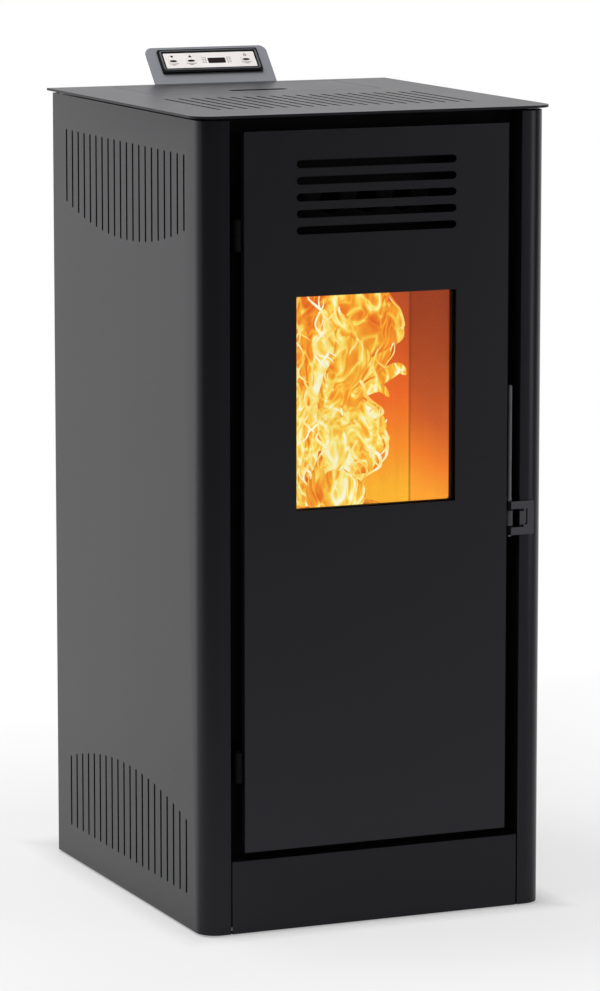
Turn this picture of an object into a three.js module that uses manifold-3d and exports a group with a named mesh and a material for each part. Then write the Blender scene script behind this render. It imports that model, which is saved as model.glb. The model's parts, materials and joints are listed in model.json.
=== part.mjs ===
// Free-standing pellet stove. Millimetres, +Z up, front towards -Y, +X to the viewer's right.
import * as THREE from "three";
import { mergeGeometries, mergeVertices } from "three/addons/utils/BufferGeometryUtils.js";
import Module from "manifold-3d";

const wasm = await Module();
wasm.setup();

// ---------------------------------------------------------------- driving dimensions

const SEAT = 0.3; // clearance between two pieces that touch
const OVERCUT = 1; // how far a cutting tool runs past the face that it cuts

// Casing
const CASING_W = 438.4;
const CASING_D = 485.4;
const CASING_H = 950;
const FLOOR_GAP = 2; // the feet stand this much lower than the casing
const SHEET = 1.5;
const CORNER_R = 24;
const COLUMN_W = 34.5; // front face of each side panel, between the side and the door recess
const RECESS_D = 30; // depth of the black recess that the door closes
const FLANGE_W = 16;

// Top plate
const TOP_T = 3;
const TOP_RISE = 2.7; // dark shadow gap between the casing and the top plate
const TOP_OVERHANG_SIDE = 7.6;
const TOP_OVERHANG_FRONT = 3.6;
const TOP_CORNER_R = 26;
const TOP_SLOT_COUNT = 20;
const TOP_SLOT_PITCH = 16.9;
const TOP_SLOT_W = 4.4;
const TOP_SLOT_INSET = 86.7; // slots' front ends, from the casing's front
const TOP_SLOT_L = 173;
const TOP_PAD_INSET = 72; // pads that carry the plate on the casing, from its front and rear

// Side vents: two mirrored fans of slots
const VENT_COUNT = 20;
const VENT_PITCH = 20.2;
const VENT_W = 4.6;
const VENT_SHIFT_Y = 3; // fans' middle, behind the casing's middle
const VENT_INSET = 41; // straight ends of the fans, from the casing's top and bottom edges
const VENT_SHORT = 89;
const VENT_SAG = 28;

// Louvres in the rear panel, in two columns
const LOUVRE_ROWS = 8;
const LOUVRE_PITCH = 14;
const LOUVRE_H = 5;
const LOUVRE_L = 110;
const LOUVRE_X = 105;
const LOUVRE_DROP = 120;

// Door
const DOOR_GAP_SIDE = 17.4;
const DOOR_GAP_TOP = 13.2;
const DOOR_GAP_BOTTOM = 9.8;
const DOOR_PROUD = 1;
const DOOR_RETURN = 10;
const PLINTH_H = 86.4;
const PLINTH_JOINT = 1.7;
const PLINTH_LIP = 12;
const GRILLE_COUNT = 5;
const GRILLE_PITCH = 19.1;
const GRILLE_SLOT_H = 9.4;
const GRILLE_TOP_DROP = 39.3; // door's top edge to the first slot's centre line
const WINDOW_W = 202.5;
const WINDOW_H = 249.4;
const WINDOW_SHIFT_X = -1;
const WINDOW_TOP_DROP = 192; // door's top edge to the window's top edge
const GLASS_T = 4;
const GLASS_LAP = 13;
const GLASS_SETBACK = 8;
const STIFFENER_W = 18;
const STIFFENER_T = 1.5;
const FRAME_T = 8;
const FRAME_CORNER_R = 6;
const WINDOW_CORNER_R = 3;
const SEAL_D = 9;
const SEAL_MARGIN = 2; // between the firebox mouth and the seal, and round the seal
const SEAL_CORNER_R = 10;
const SEAL_INNER_R = 4;
const DOOR_SWING_X = 11.7; // hinge axis, from the recess's left wall
const DOOR_SWING_Y = 6.7; // hinge axis, behind the door's front face

// Hinges
const HINGE_R = 5;
const HINGE_PIN_R = 2.5;
const HINGE_H = 18;
const HINGE_INSET = 110; // each hinge's middle, from the door's top or bottom edge
const HINGE_LEAF_T = 6;
const HINGE_NECK = 7; // knuckle's far side to the leaf's far side
const HINGE_LEAF_LAP = 13; // leaf behind the stiffener
const HINGE_PIN_RISE = 2;
const RUNNING = 0.3;

// Latch
const LATCH_PIN_R = 2.25;
const LATCH_PIN_X = 5.4; // latch axis, from the door's right edge
const LATCH_PIN_Y = 3.7; // latch axis, behind the door's front face
const LATCH_KNUCKLE_R = 4.2;
const LATCH_KNUCKLE_H = 11;
const LATCH_MIDDLE_H = 18;
const LATCH_DROP = 26; // latch's middle below the window
const LATCH_PLATE_T = 2;
const LATCH_PLATE_W = 13.5;
const LATCH_EAR_H = 9;
const LATCH_REACH = 29.8; // latch axis to the plate's free edge
const LATCH_SLIT_W = 1.6;
const LATCH_ROD_RISE = 138; // rod above the upper knuckle
const LATCH_COLLAR_R = 3;
const LATCH_COLLAR_H = 5;
const LATCH_COLLAR_BEVEL = 1;
const LATCH_ROD_DROP = 2; // rod below the lower knuckle
const LATCH_WEB_T = 4;
const LATCH_CORNER_R = 1.5;
const LATCH_LAP = 2; // ears and tongue into the plate
const LATCH_TONGUE = 5;
const LATCH_TONGUE_GAP = 1;
const LATCH_SLIT_X = 3.4; // plate's left edge to the slit
const LATCH_SLIT_HOOK = 2.2;

// Hopper and its lid
const HOPPER_SPARE = 0.6; // hopper's inside to the ends of the lid's hinge pin
const HOPPER_D = 164;
const HOPPER_REAR_GAP = 12.7;
const HOPPER_BIN_H = 377; // straight part, below the casing's top
const HOPPER_FUNNEL_H = 85;
const HOPPER_OUTLET = 56;
const HOPPER_T = 2;
const LID_W = 292;
const LID_D = 144;
const LID_SETBACK = 8; // lid's rear edge to the hopper's
const LID_T = 1.6;
const LID_SEAM = 0.8;
const FINGER_W = 76;
const FINGER_H = 17;
const FINGER_INSET = 36; // finger slot's middle, from the lid's front edge
const LID_PIN_R = 2;
const LID_KNUCKLE_R = 4.5;
const LID_KNUCKLE_INSET = 6;
const LID_KNUCKLE_W = 14;
const LID_TAIL = 18; // lid behind its hinge axis, which dips into the hopper as the lid opens
const LID_LUG_T = 3.3;

// Control panel
const PANEL_W = 163;
const PANEL_L = 58;
const PANEL_TILT = 47; // degrees from the horizontal
const PANEL_T = 2;
const PANEL_CORNER_R = 10;
const PANEL_SHIFT_X = -2;
const PANEL_SKIRT = 30;
const BEZEL_SIDE = 6.25; // bezel beyond the face, left and right
const BEZEL_EDGE = 6; // bezel beyond the face, above and below
const BEZEL_T = 3.2;
const BEZEL_POCKET = 1.4;
const BEZEL_RISE = 16; // panel's bottom edge to the bezel's bottom edge
const FACE_W = 121.5;
const FACE_H = 23.6;
const FACE_T = 1;
const DISPLAY_W = 23;
const DISPLAY_H = 8;
const DISPLAY_X = 8.5;
const DISPLAY_DROP = 1; // below the face's middle
const KEY_W = 12;
const KEY_H = 8;
const KEY_TRAVEL = 0.8;
const KEY_PROUD = 0.5;
const KEY_T = 1.9;
const KEY_XS = { button_down: -50, button_up: -26, button_power: 48 };
const KEY_CORNER_R = 1.5;
const KEY_WELL_GAP = 2; // well round a key, in both directions together
const DISPLAY_CORNER_R = 0.6;
const DISPLAY_PROUD = 0.2;
const FACE_CORNER_R = 1;
const BEZEL_CORNER_R = 2;
const HOUSING_D = 14;
const HOUSING_LAP = 3;
const HOUSING_CORNER_R = 3;

// Firebox
const FIREBOX_W = 268;
const FIREBOX_D = 158.9;
const FIREBOX_H = 510;
const FIREBOX_TOP_GAP = 40; // below the casing's top
const FIREBOX_T = 3;
const FIREBOX_MOUTH_LIP = 9; // firebox beyond its mouth, left and right
const FIREBOX_MOUTH_DROP = 127;
const FIREBOX_MOUTH_H = 330;
const FIREBOX_MOUTH_R = 4;
const LINER_T = 6;
const BAFFLE_DROP = 136; // baffle's underside, below the firebox's top
const BAFFLE_T = 5;
const BAFFLE_SLOT = 40; // smoke passes between the baffle and the front
const POT_W = 92;
const POT_D = 74;
const POT_H = 52;
const POT_RIM = 6;
const POT_T = 3;
const POT_SETBACK = 80; // pot's middle, in front of the firebox's rear
const POT_RISE = 80; // pot's rim, above the firebox's underside
const POT_HOLE_R = 3;
const POT_HOLE_COLUMNS = 5;
const POT_HOLE_ROWS = 3;
const POT_GAP = 1; // cup to its holder
const HOLDER_LAP = 10; // holder beyond the cup, on every side
const HOLDER_T = 3;
const PAN_H = 46;
const PAN_T = 1.5;
const PAN_GAP = 4; // pan to the liners and the front
const PAN_REAR_GAP = 3;
const IGNITER_R = 5;
const IGNITER_DROP = 34; // below the pot's rim
const IGNITER_GAP = 2; // igniter's tip to the pot
const IGNITER_TAIL = 8; // igniter behind the air duct

// Heat exchanger and fans
const TUBE_COUNT = 5;
const TUBE_PITCH = 46;
const TUBE_R = 17;
const TUBE_T = 2;
const TUBE_DROP = 60; // tubes' middle, below the firebox's top
const TUBE_VENT_GAP = 1; // round each tube's mouth in the bulkhead
const EXCHANGER_PLATE_T = 2;
const EXCHANGER_MARGIN = 8; // plates above and below the tubes
const EXCHANGER_GAP = 2; // plates to the firebox's side walls
const SMOKE_DUCT_W = 46;
const SMOKE_DUCT_D = 70;
const SMOKE_DUCT_SETBACK = 58; // duct's middle, in front of the firebox's rear
const SMOKE_PORT_DROP = 92; // port's lower edge, below the firebox's top
const SMOKE_PORT_H = 60;
const SMOKE_PORT_LAP = 4;
const SMOKE_DUCT_HEAD = 6; // duct above its port
const SMOKE_DUCT_T = 1.5;
const EXHAUST_R = 78;
const EXHAUST_DROP = 84; // housing's top, below the firebox
const EXHAUST_T = 2;
const EXHAUST_EYE_R = 28;
const EXHAUST_REACH = 135; // impeller's axis to the housing's outlet
const EXHAUST_MOTOR_R = 34;
const EXHAUST_MOTOR_L = 40;
const EXHAUST_STAND = 40;
const IMPELLER_R = 62;
const IMPELLER_BLADES = 8;
const IMPELLER_DISC_T = 2;
const IMPELLER_GAP = 8; // impeller's disc to the housing's end face
const IMPELLER_BLADE_L = 34;
const IMPELLER_BLADE_R = 22; // blades' inner ends
const IMPELLER_BLADE_T = 2;
const IMPELLER_HUB_R = 12;
const IMPELLER_HUB_L = 18;
const SHAFT_R = 4;
const MOTOR_SHAFT_L = 14; // shaft into the exhaust motor
const FLUE_R = 40;
const FLUE_T = 1.5;
const FLUE_STUB = 50;
const INTAKE_R = 22;
const INTAKE_T = 1.5;
const INTAKE_STUB = 42;
const INTAKE_X = 28;
const INTAKE_DROP = 197; // below the firebox's underside
const BLOWER_R = 30;
const BLOWER_L = 128;
const BLOWER_X = 122;
const BLOWER_Z = 108;
const BLOWER_BLADES = 12;
const BLOWER_T = 2;
const BLOWER_BLADE_D = 8;
const BLOWER_BLADE_T = 1.6;
const BLOWER_RIM = 1;
const BLOWER_END_GAP = 3;
const BLOWER_CLEAR = 4; // rotor to its scroll
const BLOWER_WALL = 8; // rotor to the housing's outside
const BLOWER_INLET_DROP = 12;
const BLOWER_UNDER = 10; // scroll to the hollow below it
const DUCT_D = 34;
const DUCT_T = 1.5;
const DUCT_KNEE_DROP = 67; // below the firebox's underside
const DUCT_INSET = 10; // duct's sides, from the firebox's sides
const DUCT_TOP_DROP = 4;

// Auger
const AUGER_TILT = 45;
const AUGER_R = 25;
const AUGER_T = 2;
const AUGER_SETBACK = 59; // outlet's middle, behind the hopper's front
const THROAT_GAP = 3.8; // auger tube's upper side to the outlet's front edge
const AUGER_DOWN = 55;
const AUGER_PITCH = 38;
const AUGER_SHAFT_R = 6;
const AUGER_CLEAR = 1.5;
const AUGER_BLADE_T = 2.5;
const AUGER_SHORT = 30; // blade's end before the firebox wall
const AUGER_START = 3;
const AUGER_DRIVE = 12; // shaft into the gearmotor
const AUGER_FACETS = 12; // blade facets in a turn
const THROAT_LAP = 8; // throat into the hopper's outlet
const THROAT_COLLAR = 4;
const THROAT_COLLAR_H = 6;
const MOTOR_L = 58;
const MOTOR_W = 60;
const MOTOR_CAN_R = 24;
const MOTOR_BORE = 14;
const GEARBOX_L = 26;

// Base, feet and electrics
const BASE_Z = 16;
const BASE_T = 3;
const FOOT_R = 19;
const FOOT_INSET = 54;
const FOOT_H = 8;
const FOOT_RIM_LOW = 2;
const FOOT_RIM_HIGH = 5;
const FOOT_BEVEL = 3;
const FOOT_SHOULDER = 5;
const FOOT_STEM_R = 7;
const LATHE_SIDES = 16;
const INLET_X = 165;
const INLET_Z = 92;
const INLET_W = 48;
const INLET_H = 60;
const ROCKER_W = 12;
const ROCKER_H = 20;
const ROCKER_FRONT = 4.5;
const ROCKER_CREST = 6;
const ROCKER_BACK = 5;
const ROCKER_TAPER = 1.5;
const ROCKER_TILT = 7; // degrees, rest position
const ROCKER_RISE = 13; // rocker above the inlet's middle
const ROCKER_SETBACK = 3;
const ROCKER_GAP = 0.5;
const ROCKER_END_GAP = 0.7;
const ROCKER_BAY_D = 10;
const TRUNNION_R = 1.5;
const TRUNNION_L = 2.5;
const INLET_D = 28;
const INLET_PROUD = 2;
const INLET_FLANGE = 4;
const SOCKET_W = 27;
const SOCKET_LOW = 24; // below the inlet's middle
const SOCKET_HIGH = 4;
const SOCKET_D = 18;
const SOCKET_R = 3;
const BOARD_W = 120;
const BOARD_H = 170;
const BOARD_X = 135;
const BOARD_DROP = 20; // board's top edge, below the hopper's outlet
const BOARD_T = 2;
const BOARD_POST_H = 20; // board off the rear panel
const BOARD_POST_R = 4;
const BOARD_POST_INSET = 6;
const TRANSFORMER = { x: 15, z: 20, side: 40, height: 26 };
const RELAYS = { x: 70, z: 90, w: 35, h: 60, height: 12 };

const SLOT_STEPS = 2; // curve steps of a quarter of a small rounded end
const ROUND_STEPS = 6;
const PIPE_STEPS = 14;
const TUBE_STEPS = 4;

// ---------------------------------------------------------------- worked-out places

const halfW = CASING_W / 2;
const frontY = -CASING_D / 2;
const rearY = CASING_D / 2;
const bottomZ = FLOOR_GAP;
const topZ = FLOOR_GAP + CASING_H;
const recessX = halfW - COLUMN_W; // recess's side walls
const recessY = frontY + RECESS_D;
const plateZ = topZ + TOP_RISE;
const plateTopZ = plateZ + TOP_T;

const door = {
  x: recessX - DOOR_GAP_SIDE,
  y: frontY - DOOR_PROUD,
  z0: bottomZ + PLINTH_H + DOOR_GAP_BOTTOM,
  z1: topZ - DOOR_GAP_TOP,
};
const win = {
  x0: WINDOW_SHIFT_X - WINDOW_W / 2,
  x1: WINDOW_SHIFT_X + WINDOW_W / 2,
  z0: door.z1 - WINDOW_TOP_DROP - WINDOW_H,
  z1: door.z1 - WINDOW_TOP_DROP,
};
const latchZ = win.z0 - LATCH_DROP;
const glassY = door.y + GLASS_SETBACK;
const frameY = glassY + GLASS_T + SEAT;
const sealY = frameY + FRAME_T + SEAT;
const hinge = { x: -(recessX - DOOR_SWING_X), y: door.y + DOOR_SWING_Y };
const latch = { x: door.x + LATCH_PIN_X, y: door.y + LATCH_PIN_Y };
const firebox = {
  x: FIREBOX_W / 2,
  front: recessY + SHEET + SEAT,
  innerX: FIREBOX_W / 2 - FIREBOX_T,
  top: topZ - FIREBOX_TOP_GAP,
};
firebox.rear = firebox.front + FIREBOX_D;
firebox.innerRear = firebox.rear - FIREBOX_T;
firebox.bottom = firebox.top - FIREBOX_H;
firebox.floor = firebox.bottom + FIREBOX_T;
const fireMouth = {
  x: firebox.x - FIREBOX_MOUTH_LIP,
  z0: firebox.top - FIREBOX_MOUTH_DROP - FIREBOX_MOUTH_H,
  z1: firebox.top - FIREBOX_MOUTH_DROP,
};
const baffleZ = firebox.top - BAFFLE_DROP;
const tubeZ = firebox.top - TUBE_DROP;
const pot = { y: firebox.rear - POT_SETBACK, top: firebox.bottom + POT_RISE };
const lidPinX = LID_W / 2 + LID_SEAM + SEAT + LID_LUG_T;
const hopper = {
  x: lidPinX + HOPPER_SPARE + HOPPER_T,
  rear: rearY - HOPPER_REAR_GAP,
  bin: topZ - HOPPER_BIN_H,
};
hopper.front = hopper.rear - HOPPER_D;
hopper.outlet = hopper.bin - HOPPER_FUNNEL_H;
const lid = { rear: hopper.rear - LID_SETBACK, front: hopper.rear - LID_SETBACK - LID_D };
const lidAxis = { y: lid.rear - LID_TAIL, z: plateTopZ - LID_T - SEAT - LID_KNUCKLE_R };
const augerAngle = THREE.MathUtils.degToRad(AUGER_TILT);
const augerUp = new THREE.Vector3(0, -Math.cos(augerAngle), Math.sin(augerAngle));
const throatY = hopper.front + AUGER_SETBACK;
const augerDrop = (AUGER_R + AUGER_T) / Math.cos(augerAngle)
  + (HOPPER_OUTLET / 2 + THROAT_GAP) * Math.tan(augerAngle);
const augerZ = hopper.outlet - augerDrop; // auger's axis under the outlet's middle
const augerFoot = new THREE.Vector3(0, throatY, augerZ).addScaledVector(augerUp, -AUGER_DOWN);
const augerLength = (augerFoot.y - (firebox.rear + SEAT)) / Math.cos(augerAngle);
const ductX1 = -firebox.x - SEAT;
const ductX0 = ductX1 - SMOKE_DUCT_W;
const smokeDuctY = firebox.rear - SMOKE_DUCT_SETBACK;
const smokePort = {
  y0: smokeDuctY - SMOKE_DUCT_D / 2 + SMOKE_PORT_LAP,
  y1: smokeDuctY + SMOKE_DUCT_D / 2 - SMOKE_PORT_LAP,
  z0: firebox.top - SMOKE_PORT_DROP,
  z1: firebox.top - SMOKE_PORT_DROP + SMOKE_PORT_H,
};
const exhaust = {
  x0: ductX1 + SEAT,
  x1: ductX1 + SEAT + 2 * (FLUE_R + EXHAUST_T),
  y: smokeDuctY,
  z: firebox.bottom - EXHAUST_DROP - EXHAUST_R,
  outY: smokeDuctY + EXHAUST_REACH,
};
const flue = { x: (exhaust.x0 + exhaust.x1) / 2, z: exhaust.z - EXHAUST_R + FLUE_R };
const intakeZ = firebox.bottom - INTAKE_DROP;
const boardZ = hopper.outlet - BOARD_DROP - BOARD_H;

// ---------------------------------------------------------------- materials

const coat = (color, roughness, metalness) => ({ color, roughness, metalness });
const ANTHRACITE = coat(0x3c3d40, 0.45, 0.35);
const BLACK = coat(0x17181a, 0.6, 0.2);
const GREY = coat(0x9a9ca0, 0.4, 0.3);
const STEEL = coat(0xb4b6b8, 0.35, 0.9);
const CAST = coat(0x2a2a2b, 0.8, 0.5);
const VERMICULITE = coat(0xc9a878, 0.95, 0);
const GLASS = coat(0x2b2420, 0.05, 0);
const RUBBER = coat(0x141414, 0.9, 0);
const WHITE = coat(0xe9e7e6, 0.5, 0);
const PLASTIC = coat(0x1c1c1e, 0.5, 0);
const ROPE = coat(0x555250, 1, 0);
const CERAMIC = coat(0xd9d4c8, 0.7, 0);
const BOARD = coat(0x2c5b3c, 0.6, 0.1);

// ---------------------------------------------------------------- shape helpers

const AXES = {
  x: [new THREE.Vector3(0, 1, 0), new THREE.Vector3(0, 0, 1), new THREE.Vector3(1, 0, 0)],
  y: [new THREE.Vector3(0, 0, 1), new THREE.Vector3(1, 0, 0), new THREE.Vector3(0, 1, 0)],
  z: [new THREE.Vector3(1, 0, 0), new THREE.Vector3(0, 1, 0), new THREE.Vector3(0, 0, 1)],
};

// Turns a shape drawn in its own plane so that its normal runs along the named axis.
// On x the drawing's axes are (y, z), on y they are (z, x), on z they are (x, y).
function stand(geometry, axis, from) {
  const turn = new THREE.Matrix4().makeBasis(...AXES[axis]);
  const moved = geometry.applyMatrix4(turn);
  const step = AXES[axis][2].clone().multiplyScalar(from);
  return moved.translate(step.x, step.y, step.z);
}

function prism(shape, axis, from, to, steps = ROUND_STEPS) {
  const settings = { depth: to - from, bevelEnabled: false, curveSegments: steps };
  return stand(new THREE.ExtrudeGeometry(shape, settings), axis, from);
}

function box(x0, x1, y0, y1, z0, z1) {
  const g = new THREE.BoxGeometry(x1 - x0, y1 - y0, z1 - z0);
  return g.translate((x0 + x1) / 2, (y0 + y1) / 2, (z0 + z1) / 2);
}

const polygon = (points) => new THREE.Shape(points.map(([a, b]) => new THREE.Vector2(a, b)));

function roundedRect(a0, a1, b0, b1, r) {
  const s = new THREE.Shape();
  s.moveTo(a0 + r, b0);
  s.lineTo(a1 - r, b0);
  s.absarc(a1 - r, b0 + r, r, -Math.PI / 2, 0, false);
  s.lineTo(a1, b1 - r);
  s.absarc(a1 - r, b1 - r, r, 0, Math.PI / 2, false);
  s.lineTo(a0 + r, b1);
  s.absarc(a0 + r, b1 - r, r, Math.PI / 2, Math.PI, false);
  s.lineTo(a0, b0 + r);
  s.absarc(a0 + r, b0 + r, r, Math.PI, 1.5 * Math.PI, false);
  return s;
}

// A slot with half-round ends; it runs along its longer side.
function slotShape(a0, a1, b0, b1) {
  const s = new THREE.Shape();
  if (b1 - b0 > a1 - a0) {
    const r = (a1 - a0) / 2;
    s.absarc(a0 + r, b0 + r, r, Math.PI, 2 * Math.PI, false);
    s.absarc(a0 + r, b1 - r, r, 0, Math.PI, false);
  } else {
    const r = (b1 - b0) / 2;
    s.absarc(a1 - r, b0 + r, r, -Math.PI / 2, Math.PI / 2, false);
    s.absarc(a0 + r, b0 + r, r, Math.PI / 2, 1.5 * Math.PI, false);
  }
  return s;
}

function disc(a, b, r) {
  const s = new THREE.Shape();
  s.absarc(a, b, r, 0, 2 * Math.PI, false);
  return s;
}

// A round bar along an axis; a and b are its centre in the drawing plane of that axis.
const bar = (axis, a, b, r, from, to, steps = ROUND_STEPS) =>
  prism(disc(a, b, r), axis, from, to, steps);

function pipe(axis, a, b, r, t, from, to, steps = ROUND_STEPS) {
  const s = disc(a, b, r);
  s.holes.push(disc(a, b, r - t));
  return prism(s, axis, from, to, steps);
}

// A body turned about the Z axis, from its profile of [radius, height].
function turned(profile) {
  const points = profile.map(([r, z]) => new THREE.Vector2(r, z));
  return new THREE.LatheGeometry(points, LATHE_SIDES).rotateX(Math.PI / 2);
}

function toSolid(geometry) {
  const bare = geometry.clone();
  bare.deleteAttribute("normal");
  bare.deleteAttribute("uv");
  const g = mergeVertices(bare, 1e-4);
  const triVerts = new Uint32Array(g.index.array);
  const vertProperties = g.attributes.position.array;
  return new wasm.Manifold(new wasm.Mesh({ numProp: 3, vertProperties, triVerts }));
}

function toGeometry(solid) {
  const { vertProperties, triVerts } = solid.getMesh();
  const g = new THREE.BufferGeometry();
  g.setAttribute("position", new THREE.BufferAttribute(vertProperties, 3));
  g.setIndex(new THREE.BufferAttribute(triVerts, 1));
  g.computeVertexNormals();
  return g;
}

const join = (...shapes) => toGeometry(shapes.map(toSolid).reduce((a, b) => a.add(b)));
const cut = (shape, ...tools) =>
  toGeometry([shape, ...tools].map(toSolid).reduce((a, b) => a.subtract(b)));

// A closed body through rectangles [x0, x1, y0, y1, z], from the lowest to the highest.
function loft(rings) {
  const corners = rings.flatMap(([x0, x1, y0, y1, z]) => [
    [x0, y0, z],
    [x1, y0, z],
    [x1, y1, z],
    [x0, y1, z],
  ]);
  const faces = [0, 2, 1, 0, 3, 2];
  for (let ring = 0; ring + 1 < rings.length; ring += 1) {
    for (let side = 0; side < 4; side += 1) {
      const a = 4 * ring + side;
      const b = 4 * ring + ((side + 1) % 4);
      faces.push(a, b, b + 4, a, b + 4, a + 4);
    }
  }
  const top = 4 * (rings.length - 1);
  faces.push(top, top + 1, top + 2, top, top + 2, top + 3);
  const g = new THREE.BufferGeometry();
  g.setAttribute("position", new THREE.Float32BufferAttribute(corners.flat(), 3));
  g.setIndex(faces);
  g.computeVertexNormals();
  return g;
}

const stove = new THREE.Group();

function piece(name, geometry, look) {
  const mesh = new THREE.Mesh(geometry, new THREE.MeshStandardMaterial(look));
  mesh.name = name;
  stove.add(mesh);
  return mesh;
}

const mirrored = (geometry) => {
  const flipped = toGeometry(toSolid(geometry)).scale(-1, 1, 1);
  const index = flipped.index.array;
  for (let i = 0; i < index.length; i += 3) {
    [index[i + 1], index[i + 2]] = [index[i + 2], index[i + 1]];
  }
  flipped.computeVertexNormals();
  return flipped;
};

// ---------------------------------------------------------------- casing

// Plan of the left side panel: side, rounded front corner, column face, return into the recess.
function sidePanelPlan() {
  const bendX = -halfW + CORNER_R;
  const bendY = frontY + CORNER_R;
  const s = new THREE.Shape();
  s.moveTo(-halfW, rearY);
  s.lineTo(-halfW, bendY);
  s.absarc(bendX, bendY, CORNER_R, Math.PI, 1.5 * Math.PI, false);
  s.lineTo(-recessX, frontY);
  s.lineTo(-recessX, recessY + SHEET);
  s.lineTo(-recessX - SHEET, recessY + SHEET);
  s.lineTo(-recessX - SHEET, frontY + SHEET);
  s.absarc(bendX, bendY, CORNER_R - SHEET, 1.5 * Math.PI, Math.PI, true);
  s.lineTo(-halfW + SHEET, rearY);
  return s;
}

// The vents' slots: each has one straight end, and the other ends lie on an arc.
function sideVents() {
  const reach = ((VENT_COUNT - 1) * VENT_PITCH) / 2;
  const arcR = (reach ** 2 + VENT_SAG ** 2) / (2 * VENT_SAG);
  const slots = [];
  for (let i = 0; i < VENT_COUNT; i += 1) {
    const offset = i * VENT_PITCH - reach;
    const length = VENT_SHORT + Math.sqrt(arcR ** 2 - offset ** 2) - (arcR - VENT_SAG);
    const y0 = VENT_SHIFT_Y + offset - VENT_W / 2;
    const y1 = y0 + VENT_W;
    const low = bottomZ + VENT_INSET;
    const high = topZ - VENT_INSET;
    for (const [z0, z1] of [[low, low + length], [high - length, high]]) {
      const slot = slotShape(y0, y1, z0, z1);
      slots.push(prism(slot, "x", -halfW - SHEET, -halfW + 2 * SHEET, SLOT_STEPS));
    }
  }
  return mergeGeometries(slots);
}

function leftSidePanel() {
  const sheet = prism(sidePanelPlan(), "z", bottomZ, topZ);
  const flange = box(-halfW + SHEET / 2, -halfW + FLANGE_W, frontY + CORNER_R, rearY - FLANGE_W,
    topZ - SHEET, topZ);
  return cut(join(sheet, flange), sideVents());
}

const sidePanel = leftSidePanel();
piece("side_panel_left", sidePanel, ANTHRACITE);
piece("side_panel_right", mirrored(sidePanel), ANTHRACITE);

function topPlate() {
  const x = halfW + TOP_OVERHANG_SIDE;
  const y = frontY - TOP_OVERHANG_FRONT;
  const plan = new THREE.Shape();
  plan.moveTo(-x, rearY);
  plan.lineTo(-x, y + TOP_CORNER_R);
  plan.absarc(-x + TOP_CORNER_R, y + TOP_CORNER_R, TOP_CORNER_R, Math.PI, 1.5 * Math.PI, false);
  plan.lineTo(x - TOP_CORNER_R, y);
  plan.absarc(x - TOP_CORNER_R, y + TOP_CORNER_R, TOP_CORNER_R, 1.5 * Math.PI, 2 * Math.PI, false);
  plan.lineTo(x, rearY);
  const plate = prism(plan, "z", plateZ, plateTopZ);
  const slots = [];
  const slotY = frontY + TOP_SLOT_INSET;
  for (let i = 0; i < TOP_SLOT_COUNT; i += 1) {
    const centre = (i - (TOP_SLOT_COUNT - 1) / 2) * TOP_SLOT_PITCH;
    const slot = slotShape(centre - TOP_SLOT_W / 2, centre + TOP_SLOT_W / 2, slotY,
      slotY + TOP_SLOT_L);
    slots.push(prism(slot, "z", plateZ - TOP_T, plateTopZ + TOP_T, SLOT_STEPS));
  }
  const mouth = box(-LID_W / 2 - LID_SEAM, LID_W / 2 + LID_SEAM, lid.front - LID_SEAM,
    lid.rear + LID_SEAM, plateZ - TOP_T, plateTopZ + TOP_T);
  const pads = [];
  for (const side of [-1, 1]) {
    for (const padY of [frontY + TOP_PAD_INSET, rearY - TOP_PAD_INSET]) {
      pads.push(bar("z", side * (halfW - FLANGE_W / 2), padY, FLANGE_W / 3, topZ + SEAT,
        plateZ + OVERCUT));
    }
  }
  const lugs = [-1, 1].map((side) => {
    const x = side * (LID_W / 2 + LID_SEAM + SEAT + LID_LUG_T / 2);
    return box(x - LID_LUG_T / 2, x + LID_LUG_T / 2, lidAxis.y - LID_KNUCKLE_R,
      lidAxis.y + LID_KNUCKLE_R, lidAxis.z - LID_KNUCKLE_R, plateZ + OVERCUT);
  });
  const pinHole = bar("x", lidAxis.y, lidAxis.z, LID_PIN_R + RUNNING, -LID_W, LID_W);
  const body = cut(plate, mergeGeometries(slots), mouth);
  return cut(join(body, ...pads, ...lugs), pinHole);
}
piece("top_plate", topPlate(), ANTHRACITE);

function rearPanel() {
  const outline = polygon([
    [bottomZ, -halfW + SHEET + SEAT],
    [topZ, -halfW + SHEET + SEAT],
    [topZ, halfW - SHEET - SEAT],
    [bottomZ, halfW - SHEET - SEAT],
  ]);
  const tools = [
    bar("y", flue.z, flue.x, FLUE_R + SEAT, rearY - 3 * SHEET, rearY + SHEET, PIPE_STEPS),
    bar("y", intakeZ, INTAKE_X, INTAKE_R + SEAT, rearY - 3 * SHEET, rearY + SHEET, PIPE_STEPS),
    box(INLET_X - INLET_W / 2, INLET_X + INLET_W / 2, rearY - 3 * SHEET, rearY + SHEET,
      INLET_Z - INLET_H / 2, INLET_Z + INLET_H / 2),
  ];
  const louvres = [];
  for (let row = 0; row < LOUVRE_ROWS; row += 1) {
    for (const side of [-1, 1]) {
      const z = topZ - LOUVRE_DROP - LOUVRE_PITCH * row;
      const middle = side * LOUVRE_X;
      const slot = slotShape(z - LOUVRE_H / 2, z + LOUVRE_H / 2, middle - LOUVRE_L / 2,
        middle + LOUVRE_L / 2);
      louvres.push(prism(slot, "y", rearY - 3 * SHEET, rearY + SHEET, SLOT_STEPS));
    }
  }
  const sheet = prism(outline, "y", rearY - SHEET - SEAT, rearY - SEAT);
  return cut(sheet, ...tools, mergeGeometries(louvres));
}
piece("rear_panel", rearPanel(), ANTHRACITE);

function basePlate() {
  const x = halfW - SHEET - SEAT;
  return box(-x, x, recessY + SHEET + SEAT, rearY - SHEET - 2 * SEAT, BASE_Z, BASE_Z + BASE_T);
}
piece("base_plate", basePlate(), BLACK);

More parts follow.
